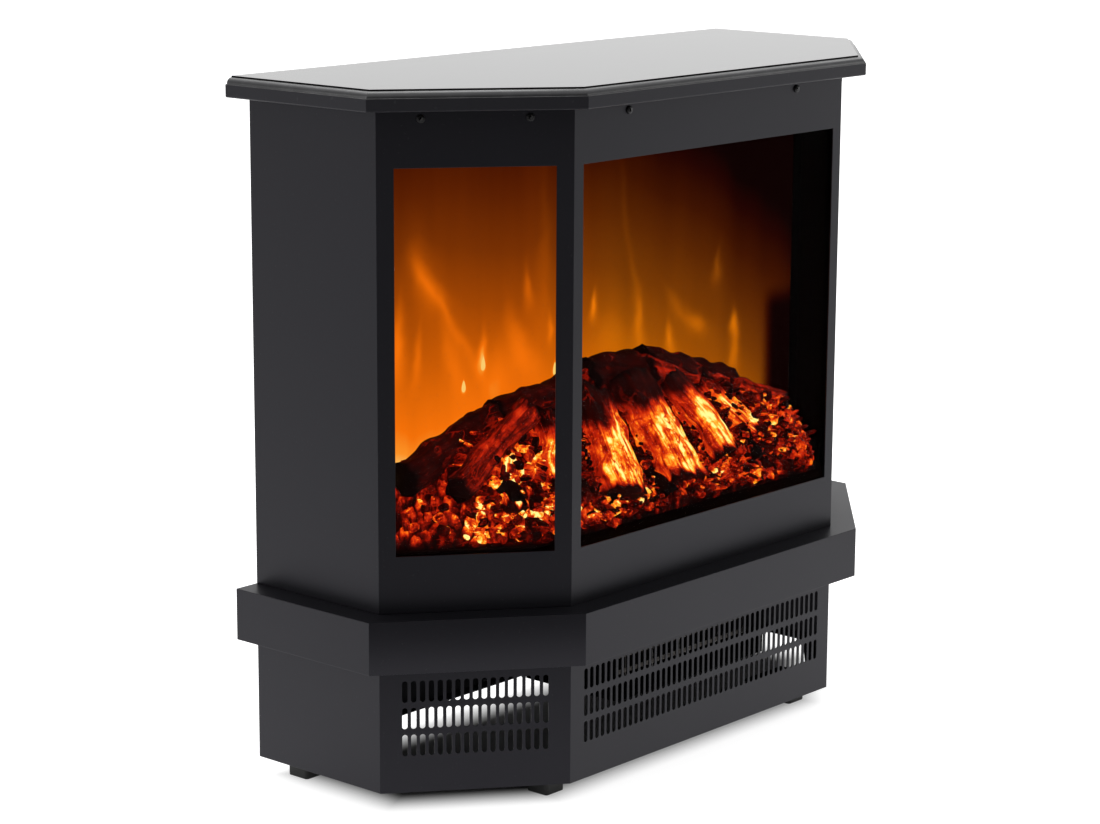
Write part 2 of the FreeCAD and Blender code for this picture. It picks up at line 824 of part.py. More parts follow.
def blower_wheel():
    x0, x1 = heater_left + sheet + wheel_end_gap, heater_right - sheet - wheel_end_gap
    centre = Vec(x0, wheel_y, wheel_z)
    discs = [pin(wheel_radius, wheel_disc, Vec(x, wheel_y, wheel_z), ACROSS) for x in (x0, x1 - wheel_disc)]
    stub = sheet + wheel_end_gap + wheel_shaft_overrun
    shafts = [pin(wheel_shaft_radius, wheel_end_gap + wheel_bush_length, centre, -ACROSS),
              pin(wheel_shaft_radius, stub, Vec(x1, wheel_y, wheel_z), ACROSS)]
    blades = []
    for i in range(wheel_blades):
        blade = box(x0, x1, -blade_depth / 2, blade_depth / 2, -blade_sheet / 2, blade_sheet / 2)
        blade.rotate(Vec(0, 0, 0), ACROSS, blade_angle)
        blade.translate(Vec(0, wheel_radius - blade_depth / 2 - blade_rim, 0))
        blade.rotate(Vec(0, 0, 0), ACROSS, 360 * i / wheel_blades)
        blade.translate(Vec(0, wheel_y, wheel_z))
        blades.append(blade)
    return joined(discs[0], discs[1], *shafts, *blades)


def blower_bush():
    inside = heater_left + sheet
    start = Vec(inside - wheel_bush_length, wheel_y, wheel_z)
    ring = pin(wheel_bush_radius, wheel_bush_length, start, ACROSS)
    collar_radius = wheel_bush_radius + 2 * sheet
    collar = peg(flange_sides, collar_radius, collar_radius, wheel_bush_length - sheet, start, ACROSS)
    bore = pin(wheel_shaft_radius + running_gap, wheel_bush_length, start, ACROSS)
    return joined(ring, collar).cut(bore)


def blower_motor():
    half = blower_core / 2
    x1 = heater_right + blower_core_length
    core = box(heater_right, x1, wheel_y - half, wheel_y + half, wheel_z - half, wheel_z + half)
    core = core.makeChamfer(blower_chamfer, [e for e in core.Edges if abs(e.tangentAt(0).x) > 0.9])
    coil_y = wheel_y + half - blower_coil_height
    coil_half = half - 2 * blower_chamfer
    coil = box(x1, x1 + blower_coil_length, coil_y, wheel_y + half, wheel_z - coil_half, wheel_z + coil_half)
    shaft_start = Vec(heater_right, wheel_y, wheel_z)
    bore = pin(wheel_shaft_radius + running_gap, wheel_shaft_overrun, shaft_start, ACROSS)
    return joined(core, coil).cut(bore)


def heating_element():
    x0, x1 = heater_left + sheet, heater_right - sheet
    y0 = heater_y0 + element_setback
    z_mid = wheel_z
    rails = []
    for z in (z_mid - element_rail_spread / 2, z_mid + element_rail_spread / 2):
        rails.append(box(x0, x1, y0, y0 + element_depth, z - element_rail / 2, z + element_rail / 2))
    pitch = (x1 - x0) / element_fins
    fins = []
    for i in range(element_fins):
        x = x0 + (i + 0.5) * pitch
        fins.append(box(x - element_fin_sheet / 2, x + element_fin_sheet / 2, y0, y0 + element_depth,
                        z_mid - element_height / 2, z_mid + element_height / 2))
    return joined(rails[0], rails[1], *fins)


def thermal_cutout():
    place = Vec(heater_left + cutout_inset, heater_y0 + cutout_setback, heater_z0)
    disc = pin(cutout_radius, cutout_height, place, -UP)
    ears = box(place.x - cutout_ear, place.x + cutout_ear, place.y - cutout_radius / 2,
               place.y + cutout_radius / 2, heater_z0 - sheet, heater_z0)
    return joined(disc, ears)


nodes["heater_housing"] = heater_housing()
nodes["blower_wheel"] = blower_wheel()
nodes["blower_bush"] = blower_bush()
nodes["blower_motor"] = blower_motor()
nodes["heating_element"] = heating_element()
nodes["thermal_cutout"] = thermal_cutout()


# Rocker switches at the back: a snapped-in body with a bezel, and a rocker on two pins
def switch_body(place):
    reach_x, reach_z = well_width / 2 + switch_wall, well_height / 2 + switch_wall
    bezel = box(place.x - bezel_width / 2, place.x + bezel_width / 2, back_y, back_y + bezel_thickness,
                place.z - bezel_height / 2, place.z + bezel_height / 2)
    case = box(place.x - reach_x, place.x + reach_x, back_y - switch_depth, back_y,
               place.z - reach_z, place.z + reach_z)
    well = box(place.x - well_width / 2, place.x + well_width / 2, back_y - well_depth,
               back_y + bezel_thickness, place.z - well_height / 2, place.z + well_height / 2)
    pin_span = well_width - 2 * rocker_clearance + 2 * (rocker_pin_length + fit_gap)
    bore = pin(rocker_pin_radius + running_gap, pin_span, place - ACROSS * (pin_span / 2), ACROSS)
    return joined(bezel, case).cut(well).cut(bore)


def rocker(place):
    half = well_width / 2 - rocker_clearance
    crown = rocker_valley + rocker_rise
    foot_reach = rocker_half_length - rocker_toe
    points = [(-rocker_half_length, crown), (0, rocker_valley), (rocker_half_length, crown),
              (foot_reach, -rocker_skirt), (-foot_reach, -rocker_skirt)]
    corners = [Vec(-half, out, up) for up, out in points]
    body = Part.Face(Part.makePolygon(corners + [corners[0]])).extrude(ACROSS * (2 * half))
    span = 2 * (half + rocker_pin_length)
    pivot = pin(rocker_pin_radius, span, Vec(-span / 2, 0, 0), ACROSS)
    rocker_shape = joined(body, pivot)
    rocker_shape.rotate(Vec(0, 0, 0), ACROSS, -rocker_tilt)
    rocker_shape.translate(place)
    return rocker_shape


for name, place in zip(("power", "low_heat", "high_heat"), switch_places):
    nodes[f"{name}_switch_body"] = switch_body(place)
    nodes[f"{name}_rocker"] = rocker(place)


# Inlet bush in the plinth back
def cord_gland():
    place = Vec(gland_x, back_y, plinth_z0 + gland_height)
    flange = peg(flange_sides, gland_flange_radius, gland_flange_radius, gland_flange, place, REAR)
    barrel = pin(gland_barrel_radius, gland_barrel_length, place, -REAR)
    length = gland_flange + gland_barrel_length
    bore = pin(gland_bore, length, place - REAR * gland_barrel_length, REAR)
    return joined(flange, barrel).cut(bore)


nodes["cord_gland"] = cord_gland()

os.makedirs("parts", exist_ok=True)
for name, shape in nodes.items():
    shape.exportStep(f"parts/{name}.step")
    print(name, len(shape.Solids), "solids", round(shape.Volume), "mm3", shape.isValid())
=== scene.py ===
import bmesh
import bpy
import json
import math
import random
from bmesh.types import BMEdge, BMFace, BMVert
from mathutils import Matrix, Vector, noise


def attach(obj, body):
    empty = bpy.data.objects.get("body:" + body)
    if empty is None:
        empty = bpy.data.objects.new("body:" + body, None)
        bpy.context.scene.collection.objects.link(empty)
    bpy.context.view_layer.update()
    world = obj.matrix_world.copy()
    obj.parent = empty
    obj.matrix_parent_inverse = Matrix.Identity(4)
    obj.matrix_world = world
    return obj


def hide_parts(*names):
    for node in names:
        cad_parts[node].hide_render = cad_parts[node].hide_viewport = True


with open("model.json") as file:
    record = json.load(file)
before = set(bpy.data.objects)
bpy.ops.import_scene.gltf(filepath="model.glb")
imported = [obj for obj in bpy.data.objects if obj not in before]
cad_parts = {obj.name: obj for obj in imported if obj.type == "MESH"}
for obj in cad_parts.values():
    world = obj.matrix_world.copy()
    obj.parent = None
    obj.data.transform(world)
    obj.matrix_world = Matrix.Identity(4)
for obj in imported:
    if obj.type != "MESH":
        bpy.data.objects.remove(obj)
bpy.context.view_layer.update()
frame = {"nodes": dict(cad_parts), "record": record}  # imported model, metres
cadNodes = frame["nodes"]
scene = bpy.context.scene
scene.view_settings.view_transform = "Standard"
mm = 0.001
print("frame loaded:", len(cadNodes), "nodes")

bay = {  # plan and levels of the casing, millimetres
    "halfWidth": 332.85, "halfFront": 197.25, "backY": 141.75, "frontY": -123.55, "kneeY": -15.15,
    "plinthLow": 18.8, "plinthHigh": 137.2, "bodyLow": 185.7, "bodyHigh": 634.0,
    "deck": 235.75, "trayBack": 21.95, "trayInset": 8.9, "sheet": 1.2,
}


def bayPlan(grow, back):  # six corners of the bay, back left round to back right
    run = bay["halfWidth"] - bay["halfFront"]
    rise = bay["kneeY"] - bay["frontY"]
    length = math.hypot(run, rise)
    normalX, normalY = -rise / length, -run / length
    reach = -normalX * bay["halfWidth"] + normalY * bay["kneeY"] + grow
    sideX = -bay["halfWidth"] - grow
    kneeY = (reach - normalX * sideX) / normalY
    frontY = bay["frontY"] - grow
    cornerX = (reach - normalY * frontY) / normalX
    left = [(sideX, back), (sideX, kneeY), (cornerX, frontY)]
    return left + [(-x, y) for x, y in reversed(left)]


def addNode(tree, kind, inputs=None, **settings):
    made = tree.nodes.new(kind)
    for label, value in settings.items():
        setattr(made, label, value)
    for label, value in (inputs or {}).items():
        if isinstance(value, bpy.types.NodeSocket):
            tree.links.new(value, made.inputs[label])
        else:
            made.inputs[label].default_value = value
    return made


def calc(tree, operation, first, second=0.0, third=0.0):
    return addNode(tree, "ShaderNodeMath", {0: first, 1: second, 2: third}, operation=operation).outputs[0]


def vectorCalc(tree, operation, *vectors):
    made = addNode(tree, "ShaderNodeVectorMath", dict(enumerate(vectors)), operation=operation)
    return made.outputs["Value" if operation in ("DOT_PRODUCT", "LENGTH") else "Vector"]


def axesOf(tree, vector):
    return addNode(tree, "ShaderNodeSeparateXYZ", {0: vector}).outputs


def spread(tree, value, low, high, newLow=0.0, newHigh=1.0):  # clamped map range
    inputs = {0: value, 1: low, 2: high, 3: newLow, 4: newHigh}
    return addNode(tree, "ShaderNodeMapRange", inputs, interpolation_type="SMOOTHSTEP").outputs[0]


def mixColour(tree, factor, first, second, blend="MIX"):
    inputs = {0: factor, 6: first, 7: second}
    return addNode(tree, "ShaderNodeMix", inputs, data_type="RGBA", blend_type=blend).outputs[2]


def rampColour(tree, factor, stops):
    ramp = addNode(tree, "ShaderNodeValToRGB", {0: factor})
    cells = ramp.color_ramp.elements
    cells[0].color = (*stops[0][1], 1.0)  # the first stop is at 0, the last at 1
    cells[1].color = (*stops[-1][1], 1.0)
    for place, colour in stops[1:-1]:
        cells.new(place).color = (*colour, 1.0)
    return ramp.outputs[0]


def noiseAt(tree, vector, scale, detail=3.0, roughness=0.55, distortion=0.0):
    inputs = {"Vector": vector, "Scale": scale, "Detail": detail, "Roughness": roughness,
              "Distortion": distortion}
    return addNode(tree, "ShaderNodeTexNoise", inputs).outputs[0]


def newGroup(name, takes, gives):  # kinds of socket by label
    group = bpy.data.node_groups.new(name, "ShaderNodeTree")
    for way, sockets in (("INPUT", takes), ("OUTPUT", gives)):
        for label, kind in sockets.items():
            group.interface.new_socket(label, in_out=way, socket_type="NodeSocket" + kind)
    return group, group.nodes.new("NodeGroupInput").outputs, group.nodes.new("NodeGroupOutput").inputs


def feed(tree, inputs, values):  # links values to inputs by label
    for label, value in values.items():
        tree.links.new(value, inputs[label])


def placeGroup(tree, group, inputs):
    return addNode(tree, "ShaderNodeGroup", inputs, node_tree=group).outputs


def newMaterial(name, plain):
    material = bpy.data.materials.new(name)
    material.use_nodes = True
    tree = material.node_tree
    shader = tree.nodes["Principled BSDF"]
    for label, value in plain.items():
        shader.inputs[label].default_value = value
    place = addNode(tree, "ShaderNodeTexCoord").outputs["Object"]
    return material, tree, shader, place


def bumpTo(tree, shader, height, strength, distance):
    bump = addNode(tree, "ShaderNodeBump", {"Height": height, "Strength": strength, "Distance": distance})
    feed(tree, shader.inputs, {"Normal": bump.outputs[0]})


# surface effects that several finishes share
def makeCoatGrain():
    takes = {"Vector": "Vector", "Grain Scale": "Float", "Mottle Scale": "Float"}
    gives = {"Grain": "Float", "Mottle": "Float", "Dust": "Float"}
    group, taken, given = newGroup("coatGrain", takes, gives)
    place, scale = taken["Vector"], taken["Grain Scale"]
    speck = noiseAt(group, place, calc(group, "MULTIPLY", scale, 0.3), 1.0, 0.4)
    feed(group, given, {
        "Grain": noiseAt(group, place, scale, 2.0, 0.5),
        "Mottle": noiseAt(group, place, taken["Mottle Scale"], 4.0, 0.6),
        "Dust": spread(group, speck, 0.70, 0.80)})
    return group


def makeEdgeRub():
    takes = {"Vector": "Vector", "Radius": "Float"}
    group, taken, given = newGroup("edgeRub", takes, {"Mask": "Float"})
    rounded = addNode(group, "ShaderNodeBevel", {"Radius": taken["Radius"]}, samples=4).outputs[0]
    facing = addNode(group, "ShaderNodeNewGeometry").outputs["Normal"]
    edge = spread(group, vectorCalc(group, "DOT_PRODUCT", rounded, facing), 0.995, 0.80)
    patchy = spread(group, noiseAt(group, taken["Vector"], 60.0, 4.0, 0.65), 0.42, 0.68)
    feed(group, given, {"Mask": calc(group, "MULTIPLY", edge, patchy)})
    return group


def makeBrushing():
    takes = {"Vector": "Vector", "Stretch": "Vector", "Scale": "Float"}
    group, taken, given = newGroup("brushing", takes, {"Lines": "Float", "Blotch": "Float"})
    pulled = vectorCalc(group, "MULTIPLY", taken["Vector"], taken["Stretch"])
    feed(group, given, {
        "Lines": noiseAt(group, pulled, taken["Scale"], 3.0, 0.6),
        "Blotch": noiseAt(group, taken["Vector"], 25.0, 3.0, 0.6)})
    return group


coatGrain = makeCoatGrain()
edgeRub = makeEdgeRub()
brushing = makeBrushing()


def paintFinish(name, look):  # powder coat, lacquer and moulded plastic
    material, tree, shader, place = newMaterial(name, look["plain"])
    scales = {"Grain Scale": look["grainScale"], "Mottle Scale": look["mottleScale"]}
    coat = placeGroup(tree, coatGrain, {"Vector": place, **scales})
    rub = placeGroup(tree, edgeRub, {"Vector": place, "Radius": look["rubRadius"]})[0]
    tone = mixColour(tree, coat["Mottle"], (*look["dark"], 1), (*look["light"], 1))
    tone = mixColour(tree, calc(tree, "MULTIPLY", coat["Dust"], look["dust"]), tone, (0.2, 0.2, 0.2, 1))
    tone = mixColour(tree, calc(tree, "MULTIPLY", rub, look["rub"]), tone, (*look["rubbed"], 1))
    low, high = look["roughness"]
    rough = calc(tree, "MULTIPLY_ADD", coat["Mottle"], high - low, low)
    rough = calc(tree, "MULTIPLY_ADD", coat["Grain"], 0.05, rough)
    feed(tree, shader.inputs, {"Base Color": tone, "Roughness": rough})
    bumpTo(tree, shader, coat["Grain"], look["bump"], 0.0004)
    return material


def metalFinish(name, look):
    material, tree, shader, place = newMaterial(name, {"Metallic": 1.0})
    brush = placeGroup(tree, brushing, {"Vector": place, "Stretch": look["stretch"], "Scale": look["scale"]})
    rub = placeGroup(tree, edgeRub, {"Vector": place, "Radius": 0.0008})[0]
    tone = mixColour(tree, brush["Blotch"], (*look["dark"], 1), (*look["light"], 1))
    tone = mixColour(tree, calc(tree, "MULTIPLY", rub, 0.5), tone, (0.85, 0.85, 0.86, 1))
    low, high = look["roughness"]
    rough = calc(tree, "MULTIPLY_ADD", brush["Lines"], high - low, low)
    feed(tree, shader.inputs, {"Base Color": tone, "Roughness": rough})
    bumpTo(tree, shader, brush["Lines"], look["bump"], 0.0002)
    return material


coolTint = (0.90, 0.88, 1.0, 1.0)
paintParts = ("plain", "dark", "light", "grainScale", "mottleScale", "roughness", "bump", "dust", "rub",
              "rubbed", "rubRadius")
paints = {  # by slot, or by own name: name of the material, then the values of paintParts
    "casing_black": (
        "powderCoat", {"Specular IOR Level": 0.28, "Specular Tint": coolTint},
        (0.0085, 0.0082, 0.0104), (0.0115, 0.0111, 0.0138), 1400.0, 7.0, (0.34, 0.42), 0.10, 0.05,
        0.25, (0.05, 0.05, 0.052), 0.0012),
    "board_black": (
        "boardLacquer", {"Specular IOR Level": 0.22, "Specular Tint": coolTint},
        (0.0225, 0.0220, 0.0255), (0.0295, 0.0290, 0.0330), 500.0, 5.0, (0.34, 0.42), 0.03, 0.08,
        0.30, (0.06, 0.06, 0.062), 0.0012),
    # black liner paint; the same finish is also laid as painted shade on parts that sit in shade
    "liner_black": (
        "linerPaint", {"Specular IOR Level": 0.03}, (0.0008, 0.0007, 0.0007), (0.0014, 0.0012, 0.0011),
        900.0, 14.0, (0.80, 0.92), 0.2, 0.02, 0.2, (0.02, 0.02, 0.02), 0.0008),
    "screw_black": (
        "blackOxide", {"Metallic": 0.5}, (0.010, 0.010, 0.011), (0.022, 0.021, 0.022),
        2500.0, 120.0, (0.28, 0.42), 0.1, 0.05, 0.6, (0.16, 0.16, 0.16), 0.0004),
    "foot_black": (
        "footPlastic", {"Specular IOR Level": 0.4}, (0.008, 0.008, 0.008), (0.016, 0.016, 0.016),
        1200.0, 40.0, (0.50, 0.66), 0.35, 0.12, 0.4, (0.05, 0.05, 0.05), 0.001),
    "switch_black": (
        "switchPlastic", {"Specular IOR Level": 0.5}, (0.009, 0.009, 0.010), (0.014, 0.014, 0.015),
        2200.0, 60.0, (0.20, 0.32), 0.08, 0.06, 0.3, (0.05, 0.05, 0.05), 0.0005),
    "gland_black": (
        "glandPlastic", {"Specular IOR Level": 0.45}, (0.010, 0.010, 0.010), (0.018, 0.018, 0.018),
        1500.0, 50.0, (0.42, 0.55), 0.2, 0.06, 0.3, (0.05, 0.05, 0.05), 0.0006),
    "nylon_white": (
        "nylonBush", {"Specular IOR Level": 0.5}, (0.62, 0.60, 0.53), (0.76, 0.75, 0.69),
        1600.0, 90.0, (0.38, 0.50), 0.06, 0.1, 0.2, (0.85, 0.84, 0.80), 0.0005),
    "plateLacquer": (
        "plateLacquer", {"Specular IOR Level": 0.5}, (0.012, 0.012, 0.013), (0.018, 0.018, 0.019),
        300.0, 4.0, (0.06, 0.09), 0.01, 0.1, 0.0, (0.06, 0.06, 0.06), 0.0008),
    "mouldingSatin": (
        "mouldingSatin",
        {"Specular IOR Level": 0.8, "Coat Weight": 0.6, "Coat Roughness": 0.25, "Coat IOR": 1.7},
        (0.0175, 0.0170, 0.0205), (0.0235, 0.0230, 0.0270), 500.0, 5.0, (0.30, 0.38), 0.03, 0.08,
        0.35, (0.16, 0.16, 0.17), 0.0012),
}
metalParts = ("dark", "light", "stretch", "scale", "roughness", "bump")
metals = {  # by slot: name of the material, then the values of metalParts
    "zinc_sheet": ("zincSheet", (0.40, 0.41, 0.43), (0.60, 0.61, 0.63), (1.0, 1.0, 0.12), 420.0,
                   (0.26, 0.50), 0.08),
    "vane_bright": ("vaneBright", (0.72, 0.72, 0.72), (0.86, 0.86, 0.86), (0.1, 1.0, 1.0), 700.0,
                    (0.10, 0.24), 0.05),
    "motor_steel": ("motorSteel", (0.33, 0.33, 0.34), (0.52, 0.52, 0.53), (1.0, 0.15, 1.0), 500.0,
                    (0.28, 0.48), 0.08),
    "wheel_grey": ("wheelGrey", (0.46, 0.47, 0.48), (0.62, 0.63, 0.64), (0.1, 1.0, 1.0), 650.0,
                   (0.28, 0.44), 0.06),
    "element_fins": ("elementFins", (0.05, 0.045, 0.04), (0.10, 0.09, 0.085), (1.0, 1.0, 0.2), 600.0,
                     (0.30, 0.52), 0.1),
}
finishes = {}
for slot, (name, *values) in paints.items():
    finishes[slot] = paintFinish(name, dict(zip(paintParts, values)))
for slot, (name, *values) in metals.items():
    finishes[slot] = metalFinish(name, dict(zip(metalParts, values)))


# clear panes: almost no mirror image of the room shows on them
def paneFinish():
    material, tree, shader, place = newMaterial("bayGlass", {
        "Transmission Weight": 1.0, "IOR": 1.02, "Metallic": 0.0})
    smear = noiseAt(tree, place, 18.0, 4.0, 0.6)
    slant = addNode(tree, "ShaderNodeLayerWeight", {"Blend": 0.5}).outputs["Facing"]
    thick = spread(tree, slant, 0.70, 0.93)  # painted reflection: a slanting look darkens the panes towards black, for the dark mirror image that glass shows at a slant
    tint = mixColour(tree, smear, (0.70, 0.70, 0.70, 1), (0.68, 0.68, 0.68, 1))
    feed(tree, shader.inputs, {
        "Base Color": mixColour(tree, thick, tint, (0.0, 0.0, 0.0, 1)),
        "Roughness": spread(tree, smear, 0.45, 0.75, 0.0, 0.03)})
    return material


finishes["bay_glass"] = paneFinish()


# lamp boards: white print with small warm lamps on top
def lampFinish():
    material, tree, shader, place = newMaterial("lampBoard", {"Emission Strength": 1.0})
    coat = placeGroup(tree, coatGrain, {"Vector": place, "Grain Scale": 1500.0, "Mottle Scale": 60.0})
    tone = mixColour(tree, coat["Mottle"], (0.62, 0.63, 0.60, 1), (0.78, 0.78, 0.75, 1))
    rough = calc(tree, "MULTIPLY_ADD", coat["Grain"], 0.2, 0.35)
    height = axesOf(tree, place)["Z"]
    lamp = calc(tree, "GREATER_THAN", height, (bay["bodyLow"] + 3.0) * mm)
    glow = mixColour(tree, lamp, (0, 0, 0, 1), (1.0, 0.55, 0.2, 1))
    feed(tree, shader.inputs, {"Base Color": tone, "Roughness": rough, "Emission Color": glow})
    return material


finishes["lamp_board"] = lampFinish()
print("plain finishes made:", len(finishes))


# flame screen: a glow that rises from red-brown to orange, with tongues and sparks
flames = {
    "topLevel": 0.575, "top": 0.245, "climb": 2.72,  # heat at the top, and its rise per metre down
    "dimFrom": -0.26, "dimWidth": 0.56, "dimCurve": 2.2, "right": 0.52,  # painted shade: less heat towards the right, where the screen is lit less
    "wander": 0.018, "sparkHeat": 0.6,
    "shadeX": (0.268, 0.294), "shadeZ": (0.405, 0.375),  # dark corner at the low right
    "goldenX": (-0.10, 0.06), "goldenTint": (0.96, 1.30, 1.0, 1),
    "tongues": (  # x, z, half width, half height, lean, strength
        (-228, 466, 15, 27, -0.55, 0.19), (-236, 480, 24, 38, -0.2, 0.12), (-190, 415, 8, 42, -0.75, 0.11),
        (-155, 391, 8, 15, 0.15, 0.24), (-268, 417, 10, 32, 0.1, 0.22), (-243, 398, 6, 26, 0.1, 0.13),
        (-196, 398, 13, 36, -0.3, 0.12), (-89, 444, 7, 20, -0.1, 0.17), (-68, 480, 11, 90, 0.0, 0.07),
        (-100, 392, 16, 34, -0.4, 0.15), (-62, 402, 4, 13, 0.0, 0.16), (6, 417, 6.0, 14, 0.1, 0.32),
        (58, 462, 6, 95, -0.17, 0.07), (72, 392, 8, 30, -0.1, 0.13), (140, 394, 12, 26, -0.9, 0.10),
        (165, 376, 14, 12, -0.6, 0.15), (123, 368, 7, 16, 0.0, 0.20), (197, 430, 7, 18, 0.15, 0.19),
        (224, 368, 8.0, 15, 0.0, 0.36), (228, 338, 10, 22, 0.0, 0.22), (-130, 372, 26, 30, 0.2, 0.10),
        (30, 380, 30, 30, 0.0, 0.08),
    ),
    "sparks": ((-180, 364, 2.2, 4.2), (-153, 381, 2.0, 4.0), (-52, 362, 3.0, 6.0)),
}


def makeFlameTongue():
    takes = {"Vector": "Vector", "X": "Float", "Z": "Float", "Half Width": "Float", "Half Height": "Float",
             "Lean": "Float"}
    group, taken, given = newGroup("flameTongue", takes, {"Mask": "Float"})
    cut = axesOf(group, taken["Vector"])
    lift = calc(group, "SUBTRACT", cut["Z"], taken["Z"])
    drift = calc(group, "MULTIPLY", lift, taken["Lean"])
    aside = calc(group, "SUBTRACT", calc(group, "SUBTRACT", cut["X"], taken["X"]), drift)
    rise = calc(group, "DIVIDE", lift, taken["Half Height"])
    taper = calc(group, "MAXIMUM", calc(group, "MULTIPLY_ADD", rise, -0.28, 0.85), 0.25)
    across = calc(group, "DIVIDE", aside, calc(group, "MULTIPLY", taken["Half Width"], taper))
    far = calc(group, "ADD", calc(group, "MULTIPLY", across, across), calc(group, "MULTIPLY", rise, rise))
    feed(group, given, {"Mask": calc(group, "EXPONENT", calc(group, "MULTIPLY", far, -1.0))})
    return group


def addTongue(tree, tongue, vector, heat, measures, lean, strength):  # measures in millimetres
    sizes = {label: value * mm for label, value in zip(("X", "Z", "Half Width", "Half Height"), measures)}
    mask = placeGroup(tree, tongue, {"Vector": vector, "Lean": lean, **sizes})[0]
    return calc(tree, "MULTIPLY_ADD", mask, strength, heat)


def flameFinish():
    material, tree, shader, place = newMaterial("flameGlow", {
        "Base Color": (0.0, 0.0, 0.0, 1.0), "Roughness": 0.5, "Specular IOR Level": 0.0,
        "Emission Strength": 1.4})
    tongue = makeFlameTongue()
    wander = addNode(tree, "ShaderNodeTexNoise", {"Vector": place, "Scale": 22.0, "Detail": 2.0})
    shift = vectorCalc(tree, "SUBTRACT", wander.outputs["Color"], (0.5, 0.5, 0.5))
    bent = vectorCalc(tree, "MULTIPLY_ADD", shift, (flames["wander"], 0.0, flames["wander"]), place)
    cut = axesOf(tree, place)
    down = calc(tree, "SUBTRACT", flames["topLevel"], cut["Z"])
    heat = calc(tree, "MULTIPLY_ADD", down, flames["climb"], flames["top"])
    # painted shade: the glow weakens towards the right, where the screen is lit less
    aside = calc(tree, "DIVIDE", calc(tree, "SUBTRACT", cut["X"], flames["dimFrom"]), flames["dimWidth"])
    dim = calc(tree, "POWER", calc(tree, "MAXIMUM", aside, 0.0), flames["dimCurve"])
    heat = calc(tree, "SUBTRACT", heat, calc(tree, "MULTIPLY", dim, flames["right"]))
    pulled = vectorCalc(tree, "MULTIPLY", place, (1.0, 1.0, 0.12))
    bars = noiseAt(tree, pulled, 26.0, 2.0, 0.5, 0.3)  # faint upright bars of light
    heat = calc(tree, "ADD", heat, calc(tree, "MULTIPLY_ADD", bars, 0.10, -0.05))
    for *measures, lean, strength in flames["tongues"]:
        heat = addTongue(tree, tongue, bent, heat, measures, lean, strength)
    for measures in flames["sparks"]:
        heat = addTongue(tree, tongue, place, heat, measures, 0.0, flames["sparkHeat"])
    corner = [spread(tree, cut[axis], *flames["shade" + axis]) for axis in ("X", "Z")]
    shade = calc(tree, "MULTIPLY", *corner)
    heat = calc(tree, "MULTIPLY", heat, calc(tree, "SUBTRACT", 1.0, shade))
    glow = rampColour(tree, heat, (
        (0.00, (0.0030, 0.0002, 0.0002)), (0.08, (0.0160, 0.0008, 0.0004)), (0.20, (0.0500, 0.0048, 0.0004)),
        (0.32, (0.1060, 0.0145, 0.0008)), (0.46, (0.1900, 0.0310, 0.0012)), (0.60, (0.3500, 0.0600, 0.0012)),
        (0.75, (0.6200, 0.1100, 0.0015)), (0.90, (0.9400, 0.1720, 0.0030)), (0.96, (1.0, 0.30, 0.02)),
        (1.00, (1.0, 0.62, 0.16))))
    golden = spread(tree, cut["X"], *flames["goldenX"])
    glow = mixColour(tree, golden, glow, flames["goldenTint"], "MULTIPLY")
    turned = addNode(tree, "ShaderNodeTexCoord").outputs["Normal"]
    ahead = calc(tree, "LESS_THAN", axesOf(tree, turned)["Y"], -0.5)
    glow = mixColour(tree, ahead, (0.004, 0.001, 0.0, 1), glow)  # the picture faces the panes
    feed(tree, shader.inputs, {"Emission Color": glow})
    return material


finishes["screen_glow"] = flameFinish()
print("flame screen painted:", len(flames["tongues"]), "tongues")


